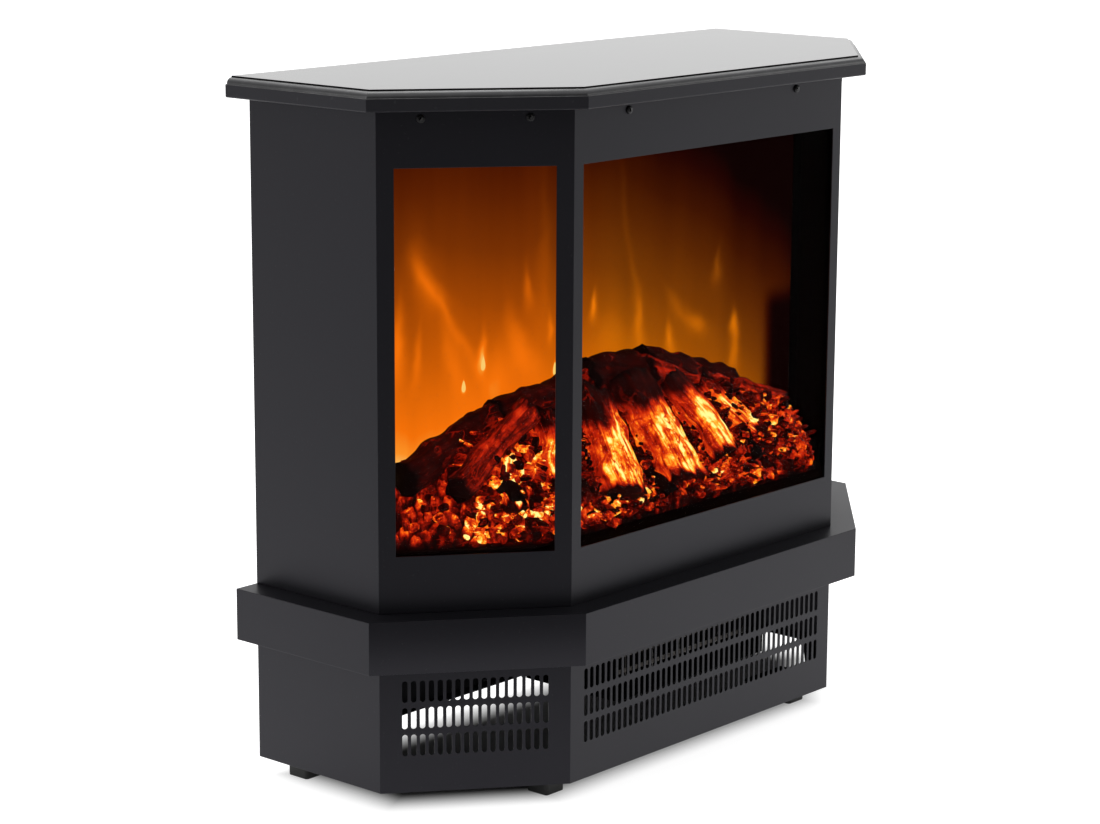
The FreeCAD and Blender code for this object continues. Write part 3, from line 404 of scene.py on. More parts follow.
# glowing logs and coals share the colours of heat
def makeEmberHeat():
    takes = {"Heat": "Float", "Grain": "Vector", "Vector": "Vector", "Blotch": "Float"}
    gives = {"Glow": "Color", "Char": "Color", "Height": "Float"}
    group, taken, given = newGroup("emberHeat", takes, gives)
    lines = noiseAt(group, taken["Grain"], 1.0, 5.0, 0.62, 0.4)
    lumps = noiseAt(group, taken["Vector"], 75.0, 4.0, 0.6)
    specks = spread(group, noiseAt(group, taken["Vector"], 420.0, 1.0, 0.5), 0.62, 0.72)
    patch = spread(group, lumps, 0.32, 0.66)
    streak = spread(group, lines, 0.34, 0.64)
    heat = calc(group, "MULTIPLY", taken["Heat"], calc(group, "MULTIPLY_ADD", streak, 0.65, 0.35))
    cool = calc(group, "SUBTRACT", 1.1, taken["Blotch"])
    heat = calc(group, "MULTIPLY", heat, calc(group, "MULTIPLY_ADD", patch, taken["Blotch"], cool))
    heat = calc(group, "MULTIPLY_ADD", calc(group, "MULTIPLY", specks, taken["Heat"]), 0.30, heat)
    heat = calc(group, "MULTIPLY", heat, 1.5)
    chunks = vectorCalc(group, "MULTIPLY", taken["Grain"], (0.55, 1.0, 2.0))
    wander = addNode(group, "ShaderNodeTexNoise", {"Vector": chunks, "Scale": 1.1, "Detail": 3.0})
    bent = vectorCalc(group, "MULTIPLY_ADD", wander.outputs["Color"], (1.6, 1.6, 1.6), chunks)
    cells = addNode(group, "ShaderNodeTexVoronoi", {"Vector": bent, "Scale": 0.8},
                    feature="DISTANCE_TO_EDGE").outputs["Distance"]
    some = spread(group, noiseAt(group, taken["Vector"], 32.0, 2.0), 0.46, 0.60)
    crack = calc(group, "MULTIPLY", spread(group, cells, 0.08, 0.01), some)
    seam = spread(group, taken["Heat"], 0.0, 0.06, 0.0, 0.28)  # cracks lean to dark red
    apart = calc(group, "SUBTRACT", seam, heat)
    heat = calc(group, "MULTIPLY_ADD", apart, calc(group, "MULTIPLY", crack, 0.8), heat)
    glow = rampColour(group, heat, (
        (0.00, (0.0008, 0.0002, 0.0002)), (0.10, (0.020, 0.0006, 0.0003)), (0.22, (0.125, 0.0030, 0.0008)),
        (0.36, (0.38, 0.011, 0.002)), (0.50, (0.62, 0.045, 0.003)), (0.66, (0.88, 0.16, 0.006)),
        (0.82, (1.0, 0.35, 0.018)), (0.95, (1.0, 0.56, 0.07)), (1.00, (1.0, 0.75, 0.24))))
    char = mixColour(group, lumps, (0.0016, 0.0012, 0.0012, 1), (0.009, 0.006, 0.005, 1))
    relief = calc(group, "MULTIPLY_ADD", lumps, 0.6, lines)
    feed(group, given, {"Glow": glow, "Char": char, "Height": calc(group, "SUBTRACT", relief, crack)})
    return group


def emberFinish(name, strength, blotch):
    material, tree, shader, place = newMaterial(name, {
        "Roughness": 0.85, "Specular IOR Level": 0.06, "Emission Strength": strength})
    heat = addNode(tree, "ShaderNodeAttribute", attribute_name="warmth").outputs["Fac"]
    grain = addNode(tree, "ShaderNodeAttribute", attribute_name="grain").outputs["Vector"]
    ember = placeGroup(tree, emberHeat, {"Heat": heat, "Grain": grain, "Vector": place, "Blotch": blotch})
    feed(tree, shader.inputs, {"Base Color": ember["Char"], "Emission Color": ember["Glow"]})
    bumpTo(tree, shader, ember["Height"], 0.6, 0.002)
    return material


emberHeat = makeEmberHeat()
emberWood = emberFinish("emberWood", 1.9, 0.60)
finishes["ember_glow"] = emberFinish("emberCoal", 1.9, 0.85)

paintedShadeParts = {"heater_housing", "foot_plates", "glass_clips"}  # painted shade: these sit dark inside the plinth and behind the panes, so they take the black liner paint
for piece in frame["record"]["subparts"]:
    node = cadNodes[piece["node"]]
    node.data.materials.clear()
    node.data.materials.append(finishes["liner_black" if node.name in paintedShadeParts else piece["material_slot"]])
print("finishes on the carried-over nodes")


def addPiece(name, bm, slot, replaced=(), body="stove", material=None, inside=None):
    mesh = bpy.data.meshes.new(name)
    bm.to_mesh(mesh)
    bm.free()
    mesh.materials.append(material or finishes[slot])
    if inside:
        mesh.materials.append(inside)
    piece = bpy.data.objects.new(name, mesh)
    scene.collection.objects.link(piece)
    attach(piece, body)
    for node in replaced:
        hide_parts(node)
    return piece


def joinInto(bm, bit):  # moves one small shape into a larger one
    passing = bpy.data.meshes.new("passing")
    bit.to_mesh(passing)
    bit.free()
    bm.from_mesh(passing)
    bpy.data.meshes.remove(passing)


def madeOf(kind, made):  # what an operator made, of one kind
    return [item for item in made["geom"] if isinstance(item, kind)]


def rimOf(bm):
    return [edge for edge in bm.edges if edge.is_boundary]


def toMetres(bm):  # from millimetres, with the normals worked out again
    bmesh.ops.scale(bm, vec=(mm, mm, mm), verts=bm.verts)
    bmesh.ops.recalc_face_normals(bm, faces=bm.faces)


# top board: a band, a quarter-round ovolo and a lacquered plate laid on it
board = {"overhang": 22.3, "back": 148.35, "band": 12.0, "under": 1.5, "edge": 0.6, "ledge": 1.8,
         "ovolo": 5.6, "step": 0.2, "lip": 1.4, "plateEdge": 0.35, "sharp": 25}


def quarter(middleOut, middleUp, radius, first, last, steps):  # arc of a profile, in degrees
    turns = [math.radians(first + (last - first) * step / steps) for step in range(steps + 1)]
    return [(middleOut + radius * math.cos(turn), middleUp + radius * math.sin(turn)) for turn in turns]


# one extrusion of the bay plan for each point of the profile: the old level faces stay inside
def stackRings(profile, back):
    bm = bmesh.new()
    corner = bm.verts.layers.int.new("corner")
    grow, level = profile[0]
    ring = []
    for number, (x, y) in enumerate(bayPlan(grow, back)):
        ring.append(bm.verts.new((x, y, level)))
        ring[-1][corner] = number
    top = bm.faces.new(ring)
    for grow, level in profile[1:]:
        top = madeOf(BMFace, bmesh.ops.extrude_face_region(bm, geom=[top]))[0]
        plan = bayPlan(grow, back)
        for vert in top.verts:
            vert.co = (*plan[vert[corner]], level)
    toMetres(bm)
    return bm


def shadeRound(piece, degrees):  # smooth shading that keeps the true edges and level flats
    for face in piece.data.polygons:
        face.use_smooth = True
    piece.data.set_sharp_from_angle(angle=math.radians(degrees))
    piece.modifiers.new("levelFlats", "WEIGHTED_NORMAL").keep_sharp = True


def makeBoard():
    out, low = board["overhang"], bay["bodyHigh"]
    bandTop = low + board["band"]
    ovoloOut = out - board["ledge"] - board["ovolo"]
    lipLow = bandTop + board["ovolo"]
    profile = quarter(out - board["under"], low + board["under"], board["under"], -90, 0, 4)
    profile += quarter(out - board["edge"], bandTop - board["edge"], board["edge"], 0, 90, 3)
    profile += quarter(ovoloOut, bandTop, board["ovolo"], 0, 90, 10)
    rings = stackRings(profile, board["back"])
    for face in rings.faces:  # the ovolo and the rim of the band shine more
        face.material_index = int(face.calc_center_median().z > (bandTop - board["edge"]) * mm)
    edge = addPiece("boardEdge", rings, "board_black", ["top_board"], inside=finishes["mouldingSatin"])
    shadeRound(edge, board["sharp"])
    plateOut, soft = ovoloOut - board["step"], board["plateEdge"]
    profile = [(plateOut, lipLow)] + quarter(plateOut - soft, lipLow + board["lip"] - soft, soft, 0, 90, 3)
    rings = stackRings(profile, board["back"])
    for face in rings.faces:  # painted shade: dull black round the side of the plate, for the dark shadow line between plate and ovolo
        face.material_index = int(face.normal.z < 0.5)
    plate = addPiece("boardPlate", rings, "board_black", material=finishes["plateLacquer"],
                     inside=finishes["liner_black"])
    shadeRound(plate, board["sharp"])


makeBoard()
print("top board routed")


# sheet parts: merged copies of the carried-over nodes with their edges eased
inwardOf = {"left_side_panel": (1.0, 0.0), "right_side_panel": (-1.0, 0.0), "front_window_frame": (0.0, 1.0),
            "left_window_frame": (0.624, 0.781), "right_window_frame": (-0.624, 0.781)}


def mergedCopy(node):
    bm = bmesh.new()
    bm.from_mesh(cadNodes[node].data)
    bmesh.ops.remove_doubles(bm, verts=bm.verts, dist=1e-6)
    bmesh.ops.dissolve_limit(bm, angle_limit=0.01, verts=bm.verts, edges=bm.edges)
    return bm


def turnedBetween(bm, low, high):  # edges whose faces turn by an angle in this range, degrees
    return [edge for edge in bm.edges
            if edge.is_manifold and low < math.degrees(edge.calc_face_angle()) < high]


def easeEdges(bm, edges, radius, segments):
    bmesh.ops.bevel(bm, geom=edges, offset=radius * mm, offset_type="OFFSET", affect="EDGES",
                    segments=segments, profile=0.5, material=-1, clamp_overlap=True)


def softenNode(node, name, finish, radius, segments=2, body="stove"):
    bm = mergedCopy(node)
    easeEdges(bm, turnedBetween(bm, 30, 100), radius, segments)  # mitres turn further and stay tight
    bmesh.ops.recalc_face_normals(bm, faces=bm.faces)
    inward = Vector((*inwardOf.get(node, (0.0, 0.0)), 0.0))
    for face in bm.faces:
        if face.normal.dot(inward) > 0.5:
            face.material_index = 1
    lining = finishes["liner_black"] if inward.length else None
    return addPiece(name, bm, finish, [node], body, inside=lining)


ease = {"sheet": 0.4, "foot": 1.5, "gland": 0.6, "switch": 0.7, "rocker": 0.8,  # radii in millimetres
        "segments": 3, "sharp": 40}


def softenSheet(node, name):
    softenNode(node, name, "casing_black", ease["sheet"])


def softenRound(node, name, finish, radius, body="stove"):
    shadeRound(softenNode(node, name, finish, radius, ease["segments"], body), ease["sharp"])


for side in ("left", "right"):
    softenSheet(f"{side}_side_panel", f"{side}SidePanel")
    softenSheet(f"{side}_window_frame", f"{side}WindowFrame")
    softenSheet(f"plinth_{side}_side", f"{side}PlinthSide")
    for end in ("front", "back"):
        softenRound(f"foot_{end}_{side}", f"{end}{side.title()}Foot", "foot_black", ease["foot"])
softenSheet("front_window_frame", "frontWindowFrame")
softenSheet("hearth_ledge", "hearthLedge")
softenSheet("back_panel", "backPanel")
softenSheet("plinth_back", "plinthBack")
softenRound("cord_gland", "cordGland", "gland_black", ease["gland"])
for node, name in (("power", "power"), ("low_heat", "lowHeat"), ("high_heat", "highHeat")):
    softenNode(f"{node}_switch_body", f"{name}SwitchBody", "switch_black", ease["switch"], ease["segments"])
    softenRound(f"{node}_rocker", f"{name}Rocker", "switch_black", ease["rocker"], f"{node}_switch")
print("sheet edges eased")


# plinth grilles: one slot cell is copied over the sheet, then the sheet is thickened and folded,
# and the strips that the folds start from stay inside them
grille = {"slotWide": 5.0, "slotLong": 20.0, "pitch": 8.0, "rowPitch": 25.0, "rows": 3, "topDrop": 24.1,
          "margin": 20.0, "fold": 18.0, "ring": 16, "near": 1e-4, "sharp": 35}


def slotCell():  # flat cell round one slot: x across, z up
    bm = bmesh.new()
    count = grille["ring"]
    turn = Matrix.Rotation(math.pi / count, 4, "Z")
    outer = bmesh.ops.create_circle(bm, segments=count, radius=1.0, matrix=turn)["verts"]
    inner = bmesh.ops.create_circle(bm, segments=count, radius=1.0, matrix=turn)["verts"]
    widest = math.cos(math.pi / count)
    radius = grille["slotWide"] / 2
    for vert in outer:  # upper half lies on the cell's top edge, lower half on its bottom edge
        edge = math.copysign(grille["rowPitch"] / 2, vert.co.y)
        vert.co = (vert.co.x / widest * grille["pitch"] / 2, 0, edge)
    for vert in inner:
        lift = math.copysign(grille["slotLong"] / 2 - radius, vert.co.y)
        vert.co = (vert.co.x / widest * radius, 0, lift + vert.co.y * radius)
    bmesh.ops.bridge_loops(bm, edges=bm.edges[:])
    return bm


def pushRim(bm, axis, rim, reach):  # carries the sheet's edge at one coordinate out to another
    edges = [edge for edge in rimOf(bm)
             if all(abs(vert.co[axis] - rim) < grille["near"] for vert in edge.verts)]
    for vert in madeOf(BMVert, bmesh.ops.extrude_edge_only(bm, edges=edges)):
        vert.co[axis] = reach


def slottedSheet(length, height):
    columns = int((length - 2 * grille["margin"]) / grille["pitch"]) + 1
    first = (length - (columns - 1) * grille["pitch"]) / 2
    bm = bmesh.new()
    for column in range(columns):
        for row in range(grille["rows"]):
            cell = slotCell()
            level = height - grille["topDrop"] - row * grille["rowPitch"]
            bmesh.ops.translate(cell, vec=(first + column * grille["pitch"], 0, level), verts=cell.verts)
            joinInto(bm, cell)
    bmesh.ops.remove_doubles(bm, verts=bm.verts, dist=1e-3)
    top = height - grille["topDrop"] + grille["rowPitch"] / 2
    bottom = top - grille["rows"] * grille["rowPitch"]
    pushRim(bm, 0, first - grille["pitch"] / 2, 0.0)
    pushRim(bm, 0, length - first + grille["pitch"] / 2, length)
    pushRim(bm, 2, top, height - bay["sheet"])
    pushRim(bm, 2, height - bay["sheet"], height)
    pushRim(bm, 2, bottom, bay["sheet"])
    pushRim(bm, 2, bay["sheet"], 0.0)
    return bm


def makeGrille(side, first):
    plan = [Vector((*corner, bay["plinthLow"])) for corner in bayPlan(0.0, bay["backY"])]
    start, end = plan[first], plan[first + 1]
    runs = [(plan[n + 1] - plan[n]).normalized() for n in (first - 1, first, first + 1)]
    mitres = [math.tan(runs[n].angle(runs[n + 1]) / 2) for n in (0, 1)]
    length, height = (end - start).length, bay["plinthHigh"] - bay["plinthLow"]
    bm = slottedSheet(length, height)
    back = madeOf(BMVert, bmesh.ops.extrude_face_region(bm, geom=bm.faces[:]))
    bmesh.ops.translate(bm, vec=(0, bay["sheet"], 0), verts=back)
    bmesh.ops.recalc_face_normals(bm, faces=bm.faces)
    strips = [face for face in bm.faces if face.normal.y > 0.9
              and abs(face.calc_center_median().z - height / 2) > height / 2 - bay["sheet"]]
    flange = madeOf(BMVert, bmesh.ops.extrude_face_region(bm, geom=strips))
    bmesh.ops.translate(bm, vec=(0, grille["fold"] - bay["sheet"], 0), verts=flange)
    for vert in bm.verts:  # mitred ends
        if vert.co.x < grille["near"]:
            vert.co.x += vert.co.y * mitres[0]
        elif vert.co.x > length - grille["near"]:
            vert.co.x -= vert.co.y * mitres[1]
    inward = Vector((0, 0, 1)).cross(runs[1])
    place = Matrix((runs[1], inward, (0, 0, 1))).transposed().to_4x4()
    bmesh.ops.transform(bm, matrix=Matrix.Scale(mm, 4) @ Matrix.Translation(start) @ place, verts=bm.verts)
    bmesh.ops.recalc_face_normals(bm, faces=bm.faces)
    piece = addPiece(f"{side}Grille", bm, "casing_black", [f"plinth_{side}_grille"])
    shadeRound(piece, grille["sharp"])


for number, side in enumerate(("left", "front", "right")):
    makeGrille(side, number + 1)
print("grilles slotted")


# pan-head screws: the flat top still covers the cross sunk below it
screw = {"radius": 3.8, "height": 2.2, "recess": 1.75, "arm": 0.55, "depth": 1.3, "land": 2.3,
         "landDrop": 0.08, "rim": 0.3, "crown": 0.612, "crownIn": 0.62, "crownFrom": 60, "crownSteps": 4,
         "drop": 8.2, "sideInset": 39.0, "frontInset": 73.6, "backInset": 8.5, "endInset": 18.5,
         "firstTurn": 0.7, "nextTurn": 1.9, "sharp": 35}


def makeScrewHead():  # stands on the plane z = 0, millimetres
    bm = bmesh.new()
    bmesh.ops.create_grid(bm, x_segments=3, y_segments=3, size=1.5)
    for vert in bm.verts:  # three by three cells: a narrow cross between corner cells
        x, y = (math.copysign(screw["arm"] if abs(c) < 1 else screw["recess"], c) for c in vert.co.xy)
        vert.co = (x, y, screw["height"])
    cross = [face for face in bm.faces if min(abs(c) for c in face.calc_center_median().xy) < 0.1]
    rim = rimOf(bm)
    low = madeOf(BMVert, bmesh.ops.extrude_face_region(bm, geom=cross))
    bmesh.ops.translate(bm, vec=(0, 0, -screw["depth"]), verts=low)
    bmesh.ops.scale(bm, vec=(0.75, 0.75, 1), verts=low)
    land = Matrix.Translation((0, 0, screw["height"] - screw["landDrop"]))
    ring = bmesh.ops.create_circle(bm, segments=12, radius=screw["land"], matrix=land)["verts"]
    around = [edge for edge in bm.edges if all(vert in ring for vert in edge.verts)]
    bmesh.ops.bridge_loops(bm, edges=rim + around)
    for step in range(screw["crownSteps"] + 1):
        turn = math.radians(screw["crownFrom"] * (1 - step / screw["crownSteps"]))
        reach = screw["radius"] * (screw["crownIn"] + (1 - screw["crownIn"]) * math.cos(turn))
        level = screw["height"] * (screw["rim"] + screw["crown"] * math.sin(turn))
        made = bmesh.ops.extrude_edge_only(bm, edges=around)
        around = madeOf(BMEdge, made)
        for vert in madeOf(BMVert, made):
            vert.co = (*(vert.co.xy.normalized() * reach), level)
    for vert in madeOf(BMVert, bmesh.ops.extrude_edge_only(bm, edges=around)):
        vert.co.z = 0.0
    return bm


def screwSeats():  # place and outward direction of each head, by node
    plan = [Vector((*corner, 0)) for corner in bayPlan(0.0, bay["backY"])]
    level = Vector((0, 0, bay["bodyHigh"] - screw["drop"]))
    casing = []
    for first, inset in ((1, screw["sideInset"]), (2, screw["frontInset"]), (3, screw["sideInset"])):
        run = (plan[first + 1] - plan[first]).normalized()
        outward = run.cross(Vector((0, 0, 1)))
        casing.append((plan[first] + run * inset + level, outward))
        casing.append((plan[first + 1] - run * inset + level, outward))
    reach = bay["halfWidth"] - bay["sheet"] - screw["backInset"]
    levels = [bay[name] + sign * screw["endInset"] for name, sign in
              (("plinthLow", 1), ("plinthHigh", -1), ("bodyLow", 1), ("bodyHigh", -1))]
    back = [(Vector((x, bay["backY"], z)), Vector((0, 1, 0))) for x in (-reach, reach) for z in levels]
    return {"casing_screws": casing, "back_screws": back}


def makeScrews():
    for node, seats in screwSeats().items():
        bm = bmesh.new()
        for number, (place, outward) in enumerate(seats):
            head = makeScrewHead()
            spin = Matrix.Rotation(screw["firstTurn"] + number * screw["nextTurn"], 4, "Z")
            turn = outward.to_track_quat("Z", "Y").to_matrix().to_4x4() @ spin
            bmesh.ops.transform(head, matrix=Matrix.Translation(place) @ turn, verts=head.verts)
            joinInto(bm, head)
        toMetres(bm)
        name = "casingScrewHeads" if node == "casing_screws" else "backScrewHeads"
        shadeRound(addPiece(name, bm, "screw_black", [node]), screw["sharp"])


makeScrews()
print("screw heads set")


# log bed: charred logs over a mound of coals, hottest in the middle
bed = {
    "inset": 24.0, "toe": 12.0, "sideSlope": 1.9, "height": 127.0, "slope": 92.0, "heat": 0.58,
    "darkGap": (-130, 165, 283, 0.25),  # from x to x above z, and the share of heat left there
    "leftShoulder": 25.0, "leftFall": 63.0, "rightShoulder": 30.0, "rightFall": 108.0,
    "hotSpots": (  # x, z, reach across, reach up, heat
        (15, 305, 95, 40, 1.00), (-105, 302, 45, 36, 0.95), (-215, 268, 60, 20, 1.05),
        (130, 300, 55, 34, 0.80), (215, 285, 55, 26, 0.60), (-150, 258, 120, 18, 1.05),
        (-275, 282, 22, 14, 0.95), (60, 262, 110, 12, 0.85), (-40, 256, 90, 16, 1.05),
        (-240, 252, 70, 12, 0.95),
    ),
    "logs": (  # ends as x, y, z, then radii, heat, share split flat
        ((-30, 4, 353), (52, 0, 346), 20, 20, 0.07, 0.85),
        ((50, 2, 353), (186, -4, 320), 20, 13, 0.08, 0.85),
        ((40, -12, 350), (262, -12, 288), 15, 10, 0.30, 0.85),
        ((-294, -8, 303), (-150, -3, 338), 15, 16, 0.09, 0.85),
        ((-145, -22, 340), (-258, -42, 292), 14, 12, 0.34, 0.8),
        ((-50, -16, 342), (-76, -86, 260), 23, 26, 1.0, 0.5),
        ((12, -14, 350), (7, -90, 260), 25, 26, 1.0, 0.45),
        ((68, -18, 342), (82, -80, 272), 18, 19, 0.95, 0.5),
        ((116, -14, 330), (150, -62, 276), 17, 16, 0.95, 0.6),
        ((-116, -26, 334), (-152, -68, 274), 17, 15, 1.15, 0.65),
        ((160, -20, 314), (226, -50, 274), 13, 11, 0.8, 0.7),
        ((-184, -34, 306), (-216, -68, 268), 13, 12, 1.1, 0.7),
        ((-91, -58, 274), (-91, -84, 262), 9, 8.5, 0.01, 0.95),
        ((-17, -62, 268), (-17, -90, 254), 9, 8.5, 0.01, 0.95),
        ((-206, -50, 286), (-213, -74, 276), 10, 9, 0.01, 0.95),
        ((131, -56, 276), (131, -84, 262), 8.5, 8, 0.01, 0.95),
        ((-168, -3, 336), (-70, 2, 343), 16, 17, 0.09, 0.85),
    ),
}


bedToeY = bay["frontY"] + bay["trayInset"] + bed["inset"]


def fade(value, low=0.0):
    return min(max(value, low), 1.0)


def paneGap(x, y):  # distance to the nearer angled pane
    run, rise = bay["halfWidth"] - bay["halfFront"], bay["kneeY"] - bay["frontY"]
    return ((bay["halfWidth"] - abs(x)) * rise + (y - bay["kneeY"]) * run) / math.hypot(run, rise)


def bedHeight(x, y):  # top of the coal mound, millimetres
    toe, top = bed["toe"], bed["height"]
    rest = bed["leftShoulder"] if x < 0 else bed["rightShoulder"]
    fall = bed["leftFall"] if x < 0 else bed["rightFall"]
    side = top - fall * max(abs(x) - rest, 0) / (bay["halfWidth"] - rest)
    front = toe + (y - bedToeY) * (top - toe) / bed["slope"]
    angled = toe + (paneGap(x, y) - bed["inset"]) * bed["sideSlope"]
    return max(min(side, front, angled, top), 0.0)


def halfSpan(y, inset):  # half width of the bay at a depth
    share = fade((y - bay["frontY"]) / (bay["kneeY"] - bay["frontY"]))
    return bay["halfFront"] + (bay["halfWidth"] - bay["halfFront"]) * share - inset


def heatAt(x, z):  # how hot the bed is here, millimetres
    heat = bed["heat"]
    for spotX, spotZ, reachX, reachZ, value in bed["hotSpots"]:
        far = ((x - spotX) / reachX) ** 2 + ((z - spotZ) / reachZ) ** 2
        heat = max(heat, value * math.exp(-far))
    return heat


def betweenLogs(x, z):  # coals stay dark in the gaps between the hot logs
    left, right, above, share = bed["darkGap"]
    return share if left < x < right and z > above else 1.0


def bedLayers(bm):
    return bm.verts.layers.float.new("warmth"), bm.verts.layers.float_vector.new("grain")


mound = {
    "columns": 220, "rows": 80, "cells": 0.075, "gapEdge": 2.2, "gapDepth": 9.0, "sunk": 11.0, "lowest": 2.0,
    "lumps": ((0.05, 3.0, 5.0), (0.2, 9.0, 2.5)),  # noise scale, layer, height
    "darkBelow": 2.0, "darkFade": 12.0, "skirtHeat": 0.3, "grain": 0.09,
}


def makeMound():
    bm = bmesh.new()
    heat, grain = bedLayers(bm)
    bmesh.ops.create_grid(bm, x_segments=mound["columns"], y_segments=mound["rows"], size=0.5)
    for vert in bm.verts:
        across, forward = vert.co.x * 2, 0.5 - vert.co.y
        y = bay["trayBack"] - forward * (bay["trayBack"] - bedToeY)
        x = across * halfSpan(y, bed["inset"])
        base = bedHeight(x, y)
        nearest, second = noise.voronoi(Vector((x, y, base)) * mound["cells"])[0][:2]
        gap = min((second - nearest) * mound["gapEdge"], 1.0)  # 0 between two lumps of coal
        lump = sum(noise.noise(Vector((x, y, layer)) * scale) * rise for scale, layer, rise in mound["lumps"])
        z = max(base + lump + mound["gapDepth"] * gap - mound["sunk"], mound["lowest"])
        level = bay["deck"] + z
        vert.co = Vector((x, y, level)) * mm
        lit = fade((z - mound["darkBelow"]) / mound["darkFade"])
        vert[heat] = heatAt(x, level) * gap * lit * betweenLogs(x, level)
        vert[grain] = Vector((x, y, z)) * mound["grain"]
    for vert in madeOf(BMVert, bmesh.ops.extrude_edge_only(bm, edges=rimOf(bm))):
        vert.co.z = bay["deck"] * mm
        vert[heat] *= mound["skirtHeat"]
        vert[grain].z = 0.0
    bmesh.ops.holes_fill(bm, edges=rimOf(bm), sides=0)
    bmesh.ops.recalc_face_normals(bm, faces=bm.faces)
    for face in bm.faces:
        face.smooth = True
    addPiece("coalMound", bm, "ember_glow", ["ember_bed"])


wood = {
    "segments": 28, "ringGap": 4, "fewestRings": 8,
    "bark": ((0.22, 0.02, 7, 0.20), (0.05, 0.045, 3, 0.34), (0.6, 0.05, 5, 0.10)),  # scales, seed step, depth
    "splitFacing": (0.2, -0.75, 0.6), "splitCut": 0.85, "bend": (2.1, 5), "ragged": (0.12, 10),
    "charEnd": (0.1, 7.0, 6.0), "endHeat": 0.05, "backHeat": 0.45, "ownHeat": 0.55,
    "hotFrom": 0.4, "crest": (0.035, 336, 16), "crestFade": 18, "crestHeat": 0.08,
    "grain": (3.0, 0.12, 0.022),
}


def barkAt(place, seed):  # how far the bark stands out, as a factor
    factor = 1
    for across, along, step, depth in wood["bark"]:
        spot = Vector((place.x * across, place.y * across, place.z * along + seed * step))
        factor += depth * noise.noise(spot)
    return factor


def addLog(whole, log, seed):
    start, end, firstRadius, lastRadius, glow, split = log
    bm = bmesh.new()
    heat, grain = bedLayers(bm)
    tail = Vector(start)
    run = Vector(end) - tail
    turn = run.to_track_quat("Z", "Y").to_matrix().to_4x4()
    bmesh.ops.create_cone(bm, cap_ends=True, cap_tris=False, segments=wood["segments"], radius1=firstRadius,
                          radius2=lastRadius, depth=run.length)
    sides = [edge for edge in bm.edges if abs(edge.verts[0].co.z - edge.verts[1].co.z) > 1]
    rings = max(int(run.length / wood["ringGap"]), wood["fewestRings"])
    bmesh.ops.subdivide_edges(bm, edges=sides, cuts=rings, use_grid_fill=True)
    flatTurn = turn.to_quaternion().inverted() @ Vector(wood["splitFacing"])  # split face looks out and up
    flatTurn.z = 0
    flatTurn.normalize()
    half = run.length / 2
    for vert in bm.verts:
        place = vert.co.copy()
        along = (place.z + half) / run.length
        around = Vector((place.x, place.y, 0))
        radius = around.length
        facing = 0
        if radius > 0.01:
            around *= barkAt(place, seed)
            facing = around.normalized().dot(flatTurn)
        over = around.dot(flatTurn) - radius * split
        if over > 0:
            around -= flatTurn * over * wood["splitCut"]
        scale, reach = wood["bend"]
        bend = noise.noise(Vector((seed * 11.3, along * scale, 0))) * reach
        scale, reach = wood["ragged"]
        ragged = noise.noise(Vector((place.x * scale, place.y * scale, seed * 3.0))) * reach * (2 * along - 1)
        vert.co = tail + turn @ Vector((around.x + bend, around.y, place.z + half + ragged))
        scale, reach, wander = wood["charEnd"]
        charred = noise.noise(Vector((place.x * scale, place.y * scale, seed * 5.0 + along)))
        fromEnd = min(along, 1 - along) * run.length / (reach + wander * charred)
        hot = glow * (wood["backHeat"] + (1 - wood["backHeat"]) * max(facing, 0))
        hot *= fade(fromEnd, wood["endHeat"])
        hot *= wood["ownHeat"] + wood["ownHeat"] * heatAt(vert.co.x, vert.co.z)
        if glow > wood["hotFrom"]:  # hot logs run out under the black crest
            scale, level, wander = wood["crest"]
            level += wander * noise.noise(Vector((vert.co.x * scale, seed, 0)))
            hot *= fade((level - vert.co.z) / wood["crestFade"], wood["crestHeat"])
        vert[heat] = hot
        about, deep, onward = wood["grain"]
        angle = math.atan2(place.y, place.x)
        vert[grain] = Vector((angle * about + seed * 5, radius * deep, place.z * onward + seed))
    joinInto(whole, bm)


def makeLogs():
    bm = bmesh.new()
    bedLayers(bm)
    for number, log in enumerate(bed["logs"]):
        addLog(bm, log, number + 1)
    toMetres(bm)
    for face in bm.faces:
        face.smooth = True
    addPiece("bedLogs", bm, "ember_glow", material=emberWood)


coal = {
    "seed": 7, "count": 1400, "inset": 34.0, "backGap": 20, "toeReach": 4,
    "size": (2.6, 7.0), "lift": (-0.2, 0.5),
    "smallWithin": 100, "smaller": 0.6,  # small ones over the split logs
    "chips": 0.3, "chipLong": (1.5, 2.8), "chipWide": 0.55, "chipThick": 0.4,
    "wide": (0.7, 1.1), "thick": (0.6, 1.0), "tilt": 0.6,
    "darkBelow": 3, "darkFade": 9, "glows": (0.06, 0.25, 0.5, 0.85, 1.4),
    "block": 1.6, "ball": 0.65, "noise": 0.16, "rough": 0.5, "grain": 0.14,
    "evenHeat": 0.75, "unevenHeat": 0.5,
}


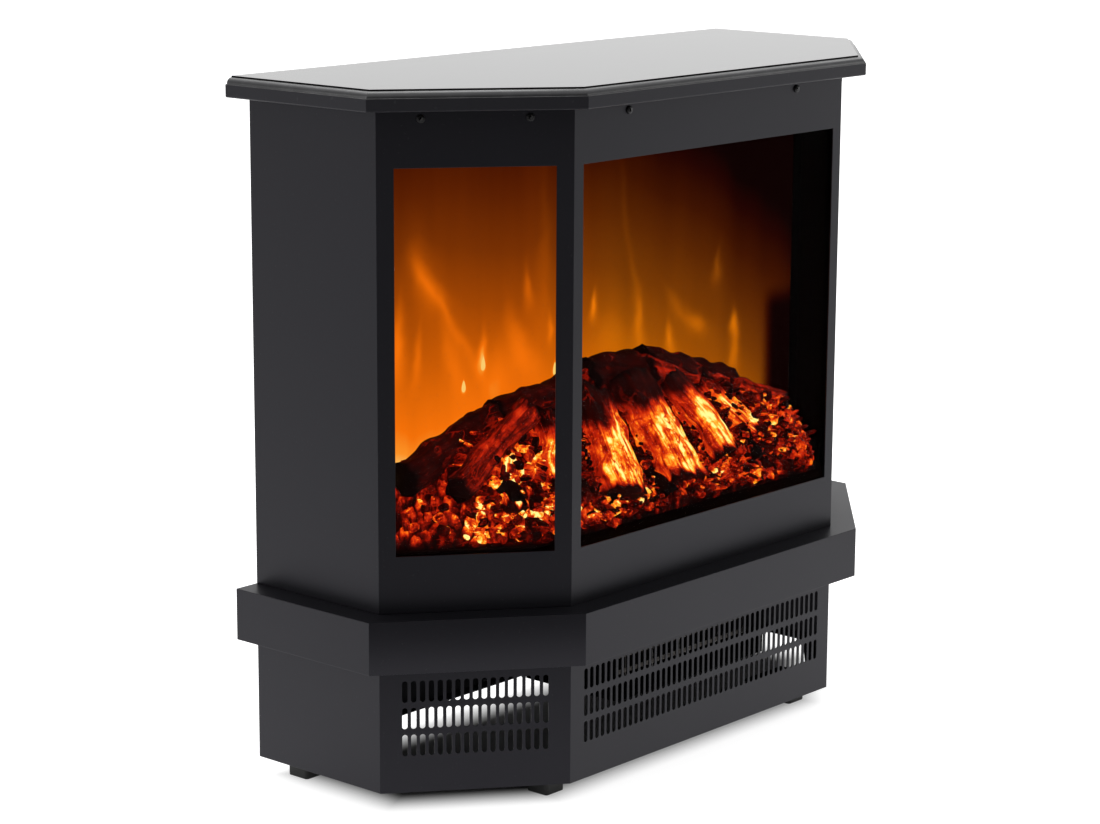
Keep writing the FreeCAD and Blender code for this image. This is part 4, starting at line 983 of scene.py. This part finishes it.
def addCoal(whole, draw, number):
    back = bay["trayBack"] - coal["backGap"]
    y = back - draw.random() ** 0.5 * (back - bedToeY + coal["toeReach"])
    x = draw.uniform(-1, 1) * halfSpan(y, coal["inset"])
    size = draw.uniform(*coal["size"]) * (coal["smaller"] if abs(x) < coal["smallWithin"] else 1.0)
    centre = Vector((x, y, bay["deck"] + bedHeight(x, y) + size * draw.uniform(*coal["lift"])))
    if draw.random() < coal["chips"]:
        stretch = (draw.uniform(*coal["chipLong"]), coal["chipWide"], coal["chipThick"])
    else:
        stretch = (1.0, draw.uniform(*coal["wide"]), draw.uniform(*coal["thick"]))
    turn = Matrix.Rotation(draw.uniform(0, 6.28), 4, "Z")
    turn = turn @ Matrix.Rotation(draw.uniform(-coal["tilt"], coal["tilt"]), 4, "Y")
    lit = fade((centre.z - bay["deck"] - coal["darkBelow"]) / coal["darkFade"])
    glow = heatAt(x, centre.z) * draw.choice(coal["glows"]) * lit * betweenLogs(x, centre.z)
    bm = bmesh.new()
    heat, grain = bedLayers(bm)
    bmesh.ops.create_cube(bm, size=size * coal["block"])
    bmesh.ops.subdivide_edges(bm, edges=bm.edges[:], cuts=1, use_grid_fill=True)
    own = Vector((number, 0, 0))
    for vert in bm.verts:  # a block drawn partly to a ball
        vert.co = vert.co.lerp(vert.co.normalized() * size, coal["ball"])
        push = noise.noise(vert.co * coal["noise"] + own)
        vert[grain] = vert.co * coal["grain"] + own
        vert[heat] = glow * (coal["evenHeat"] + coal["unevenHeat"] * push)
        vert.co *= 1 + coal["rough"] * push
    frameAt = Matrix.Translation(centre) @ turn @ Matrix.Diagonal((*stretch, 1.0))
    bmesh.ops.transform(bm, matrix=frameAt, verts=bm.verts)
    joinInto(whole, bm)


def makeCoals():
    draw = random.Random(coal["seed"])
    bm = bmesh.new()
    bedLayers(bm)
    for number in range(coal["count"]):
        addCoal(bm, draw, number)
    toMetres(bm)
    addPiece("bedCoals", bm, "ember_glow")


makeMound()
makeLogs()
makeCoals()
print("log bed laid:", len(bed["logs"]), "logs")


# camera of the photograph
view = {"place": (-2.1568, -1.80595, 0.9191), "yaw": 48.906, "pitch": 12.131, "roll": 0.31,
        "lens": 97.78, "sensor": 36.0}


def makeCamera():
    data = bpy.data.cameras.new("viewCamera")
    data.lens = view["lens"]
    data.sensor_width = view["sensor"]
    data.sensor_fit = "HORIZONTAL"
    camera = bpy.data.objects.new("viewCamera", data)
    yaw, pitch, roll = (math.radians(view[turn]) for turn in ("yaw", "pitch", "roll"))
    look = Vector((math.sin(yaw) * math.cos(pitch), math.cos(yaw) * math.cos(pitch), -math.sin(pitch)))
    side = Vector((math.cos(yaw), -math.sin(yaw), 0))
    rise = side.cross(look)
    right = side * math.cos(roll) + rise * math.sin(roll)
    above = rise * math.cos(roll) - side * math.sin(roll)
    turn = Matrix((right, above, -look)).transposed().to_4x4()
    camera.matrix_world = Matrix.Translation(view["place"]) @ turn
    scene.collection.objects.link(camera)
    scene.camera = camera


studio = {
    "floorSize": 60.0, "floorColour": (0.86, 0.86, 0.86, 1.0), "floorLift": (0.80, 1.0),
    "worldLight": (0.10, 1.05, 0.60),
    "underSide": (0.28, 0.33), "underBack": (0.09, 0.145), "underFront": (-0.07, -0.12),
    "underSlant": (0.05, 0.0), "backdrop": (0.737, 0.643, 0.21), "paper": (0.045, 0.90),
    "lamps": (  # name, place, aim, width, height, watts
        ("leftSoftbox", (-2.6, 1.0, 0.9), (-0.3, 0.0, 0.25), 1.8, 1.2, 9.0),
        ("rightSoftbox", (2.9, -1.5, 0.9), (0.1, -0.1, 0.25), 1.8, 1.2, 5.0),
        ("overheadSoftbox", (0.2, 0.6, 2.6), (0.0, 0.0, 0.5), 2.2, 1.6, 20.0),
    ),
}


def seenWhite(tree):  # 1 for rays that should find a white background
    path = addNode(tree, "ShaderNodeLightPath").outputs
    return calc(tree, "MAXIMUM", path["Is Camera Ray"], path["Is Transmission Ray"])


def makeStudio():
    world = bpy.data.worlds.new("studio")
    scene.world = world
    world.use_nodes = True
    tree = world.node_tree
    facing = addNode(tree, "ShaderNodeTexCoord").outputs["Generated"]
    behind = vectorCalc(tree, "DOT_PRODUCT", facing, studio["backdrop"])
    dim, bright, above = studio["worldLight"]
    room = spread(tree, behind, 0.45, 0.85, dim, bright)  # white sweep behind the stove
    height = axesOf(tree, facing)["Z"]
    room = calc(tree, "MAXIMUM", room, spread(tree, height, 0.2, 0.8, dim, above))
    strength = calc(tree, "MAXIMUM", seenWhite(tree), room)
    tree.links.new(strength, tree.nodes["Background"].inputs["Strength"])
    tree.nodes["Background"].inputs["Color"].default_value = (1, 1, 1, 1)
    for name, place, aim, width, height, watts in studio["lamps"]:
        data = bpy.data.lights.new(name, "AREA")
        data.shape = "RECTANGLE"
        data.size, data.size_y = width, height
        data.energy = watts
        lamp = bpy.data.objects.new(name, data)
        lamp.location = place
        lamp.rotation_euler = (Vector(aim) - Vector(place)).to_track_quat("-Z", "Y").to_euler()
        scene.collection.objects.link(lamp)


def makeFloor():
    bm = bmesh.new()
    bmesh.ops.create_grid(bm, x_segments=8, y_segments=8, size=studio["floorSize"] / 2)
    mesh = bpy.data.meshes.new("paleFloor")
    bm.to_mesh(mesh)
    bm.free()
    floor = bpy.data.objects.new("paleFloor", mesh)
    scene.collection.objects.link(floor)
    material, tree, shader, place = newMaterial("paleFloor", {"Roughness": 0.9, "Specular IOR Level": 0.0,
                                                              "Emission Color": (1, 1, 1, 1)})
    cloud = noiseAt(tree, place, 0.7, 2.0, 0.5)
    away = vectorCalc(tree, "LENGTH", place)
    near, far = studio["floorLift"]
    cut = axesOf(tree, place)
    across = calc(tree, "ABSOLUTE", cut["X"])
    slant = calc(tree, "MULTIPLY_ADD", across, -0.624, calc(tree, "MULTIPLY_ADD", cut["Y"], 0.781, 0.2195))
    outside = spread(tree, across, *studio["underSide"])
    for reach, rim in ((cut["Y"], "underBack"), (cut["Y"], "underFront"), (slant, "underSlant")):
        edge = spread(tree, reach, *studio[rim])
        outside = calc(tree, "MAXIMUM", outside, edge)  # 0 under the stove, 1 round it
    tone = mixColour(tree, cloud, studio["floorColour"], (0.84, 0.84, 0.84, 1))
    back = vectorCalc(tree, "DOT_PRODUCT", place, studio["backdrop"])
    # painted shadow: the floor's colour is dark grey under the stove, and darker off the paper towards the
    # camera
    sheet = calc(tree, "MULTIPLY", outside, spread(tree, back, -0.9, -0.35, 0.40, 1.0))
    tone = mixColour(tree, sheet, (0.25, 0.25, 0.25, 1), tone)
    lift = calc(tree, "MULTIPLY", outside, spread(tree, away, 0.35, 1.2, near, far))
    lift = calc(tree, "MULTIPLY", seenWhite(tree), lift)
    paper = spread(tree, back, -1.0, -0.2, *studio["paper"])  # the sheet ends before the camera
    paper = calc(tree, "MULTIPLY", paper, spread(tree, away, 0.5, 1.5, 1.0, 0.72))
    mirrored = addNode(tree, "ShaderNodeLightPath").outputs["Is Glossy Ray"]
    mirrored = calc(tree, "MULTIPLY", calc(tree, "MULTIPLY", mirrored, outside), paper)
    lift = calc(tree, "MAXIMUM", lift, mirrored)
    feed(tree, shader.inputs, {"Base Color": tone, "Emission Strength": lift})
    mesh.materials.append(material)


makeCamera()
makeStudio()
makeFloor()
print("camera, lamps and floor set")
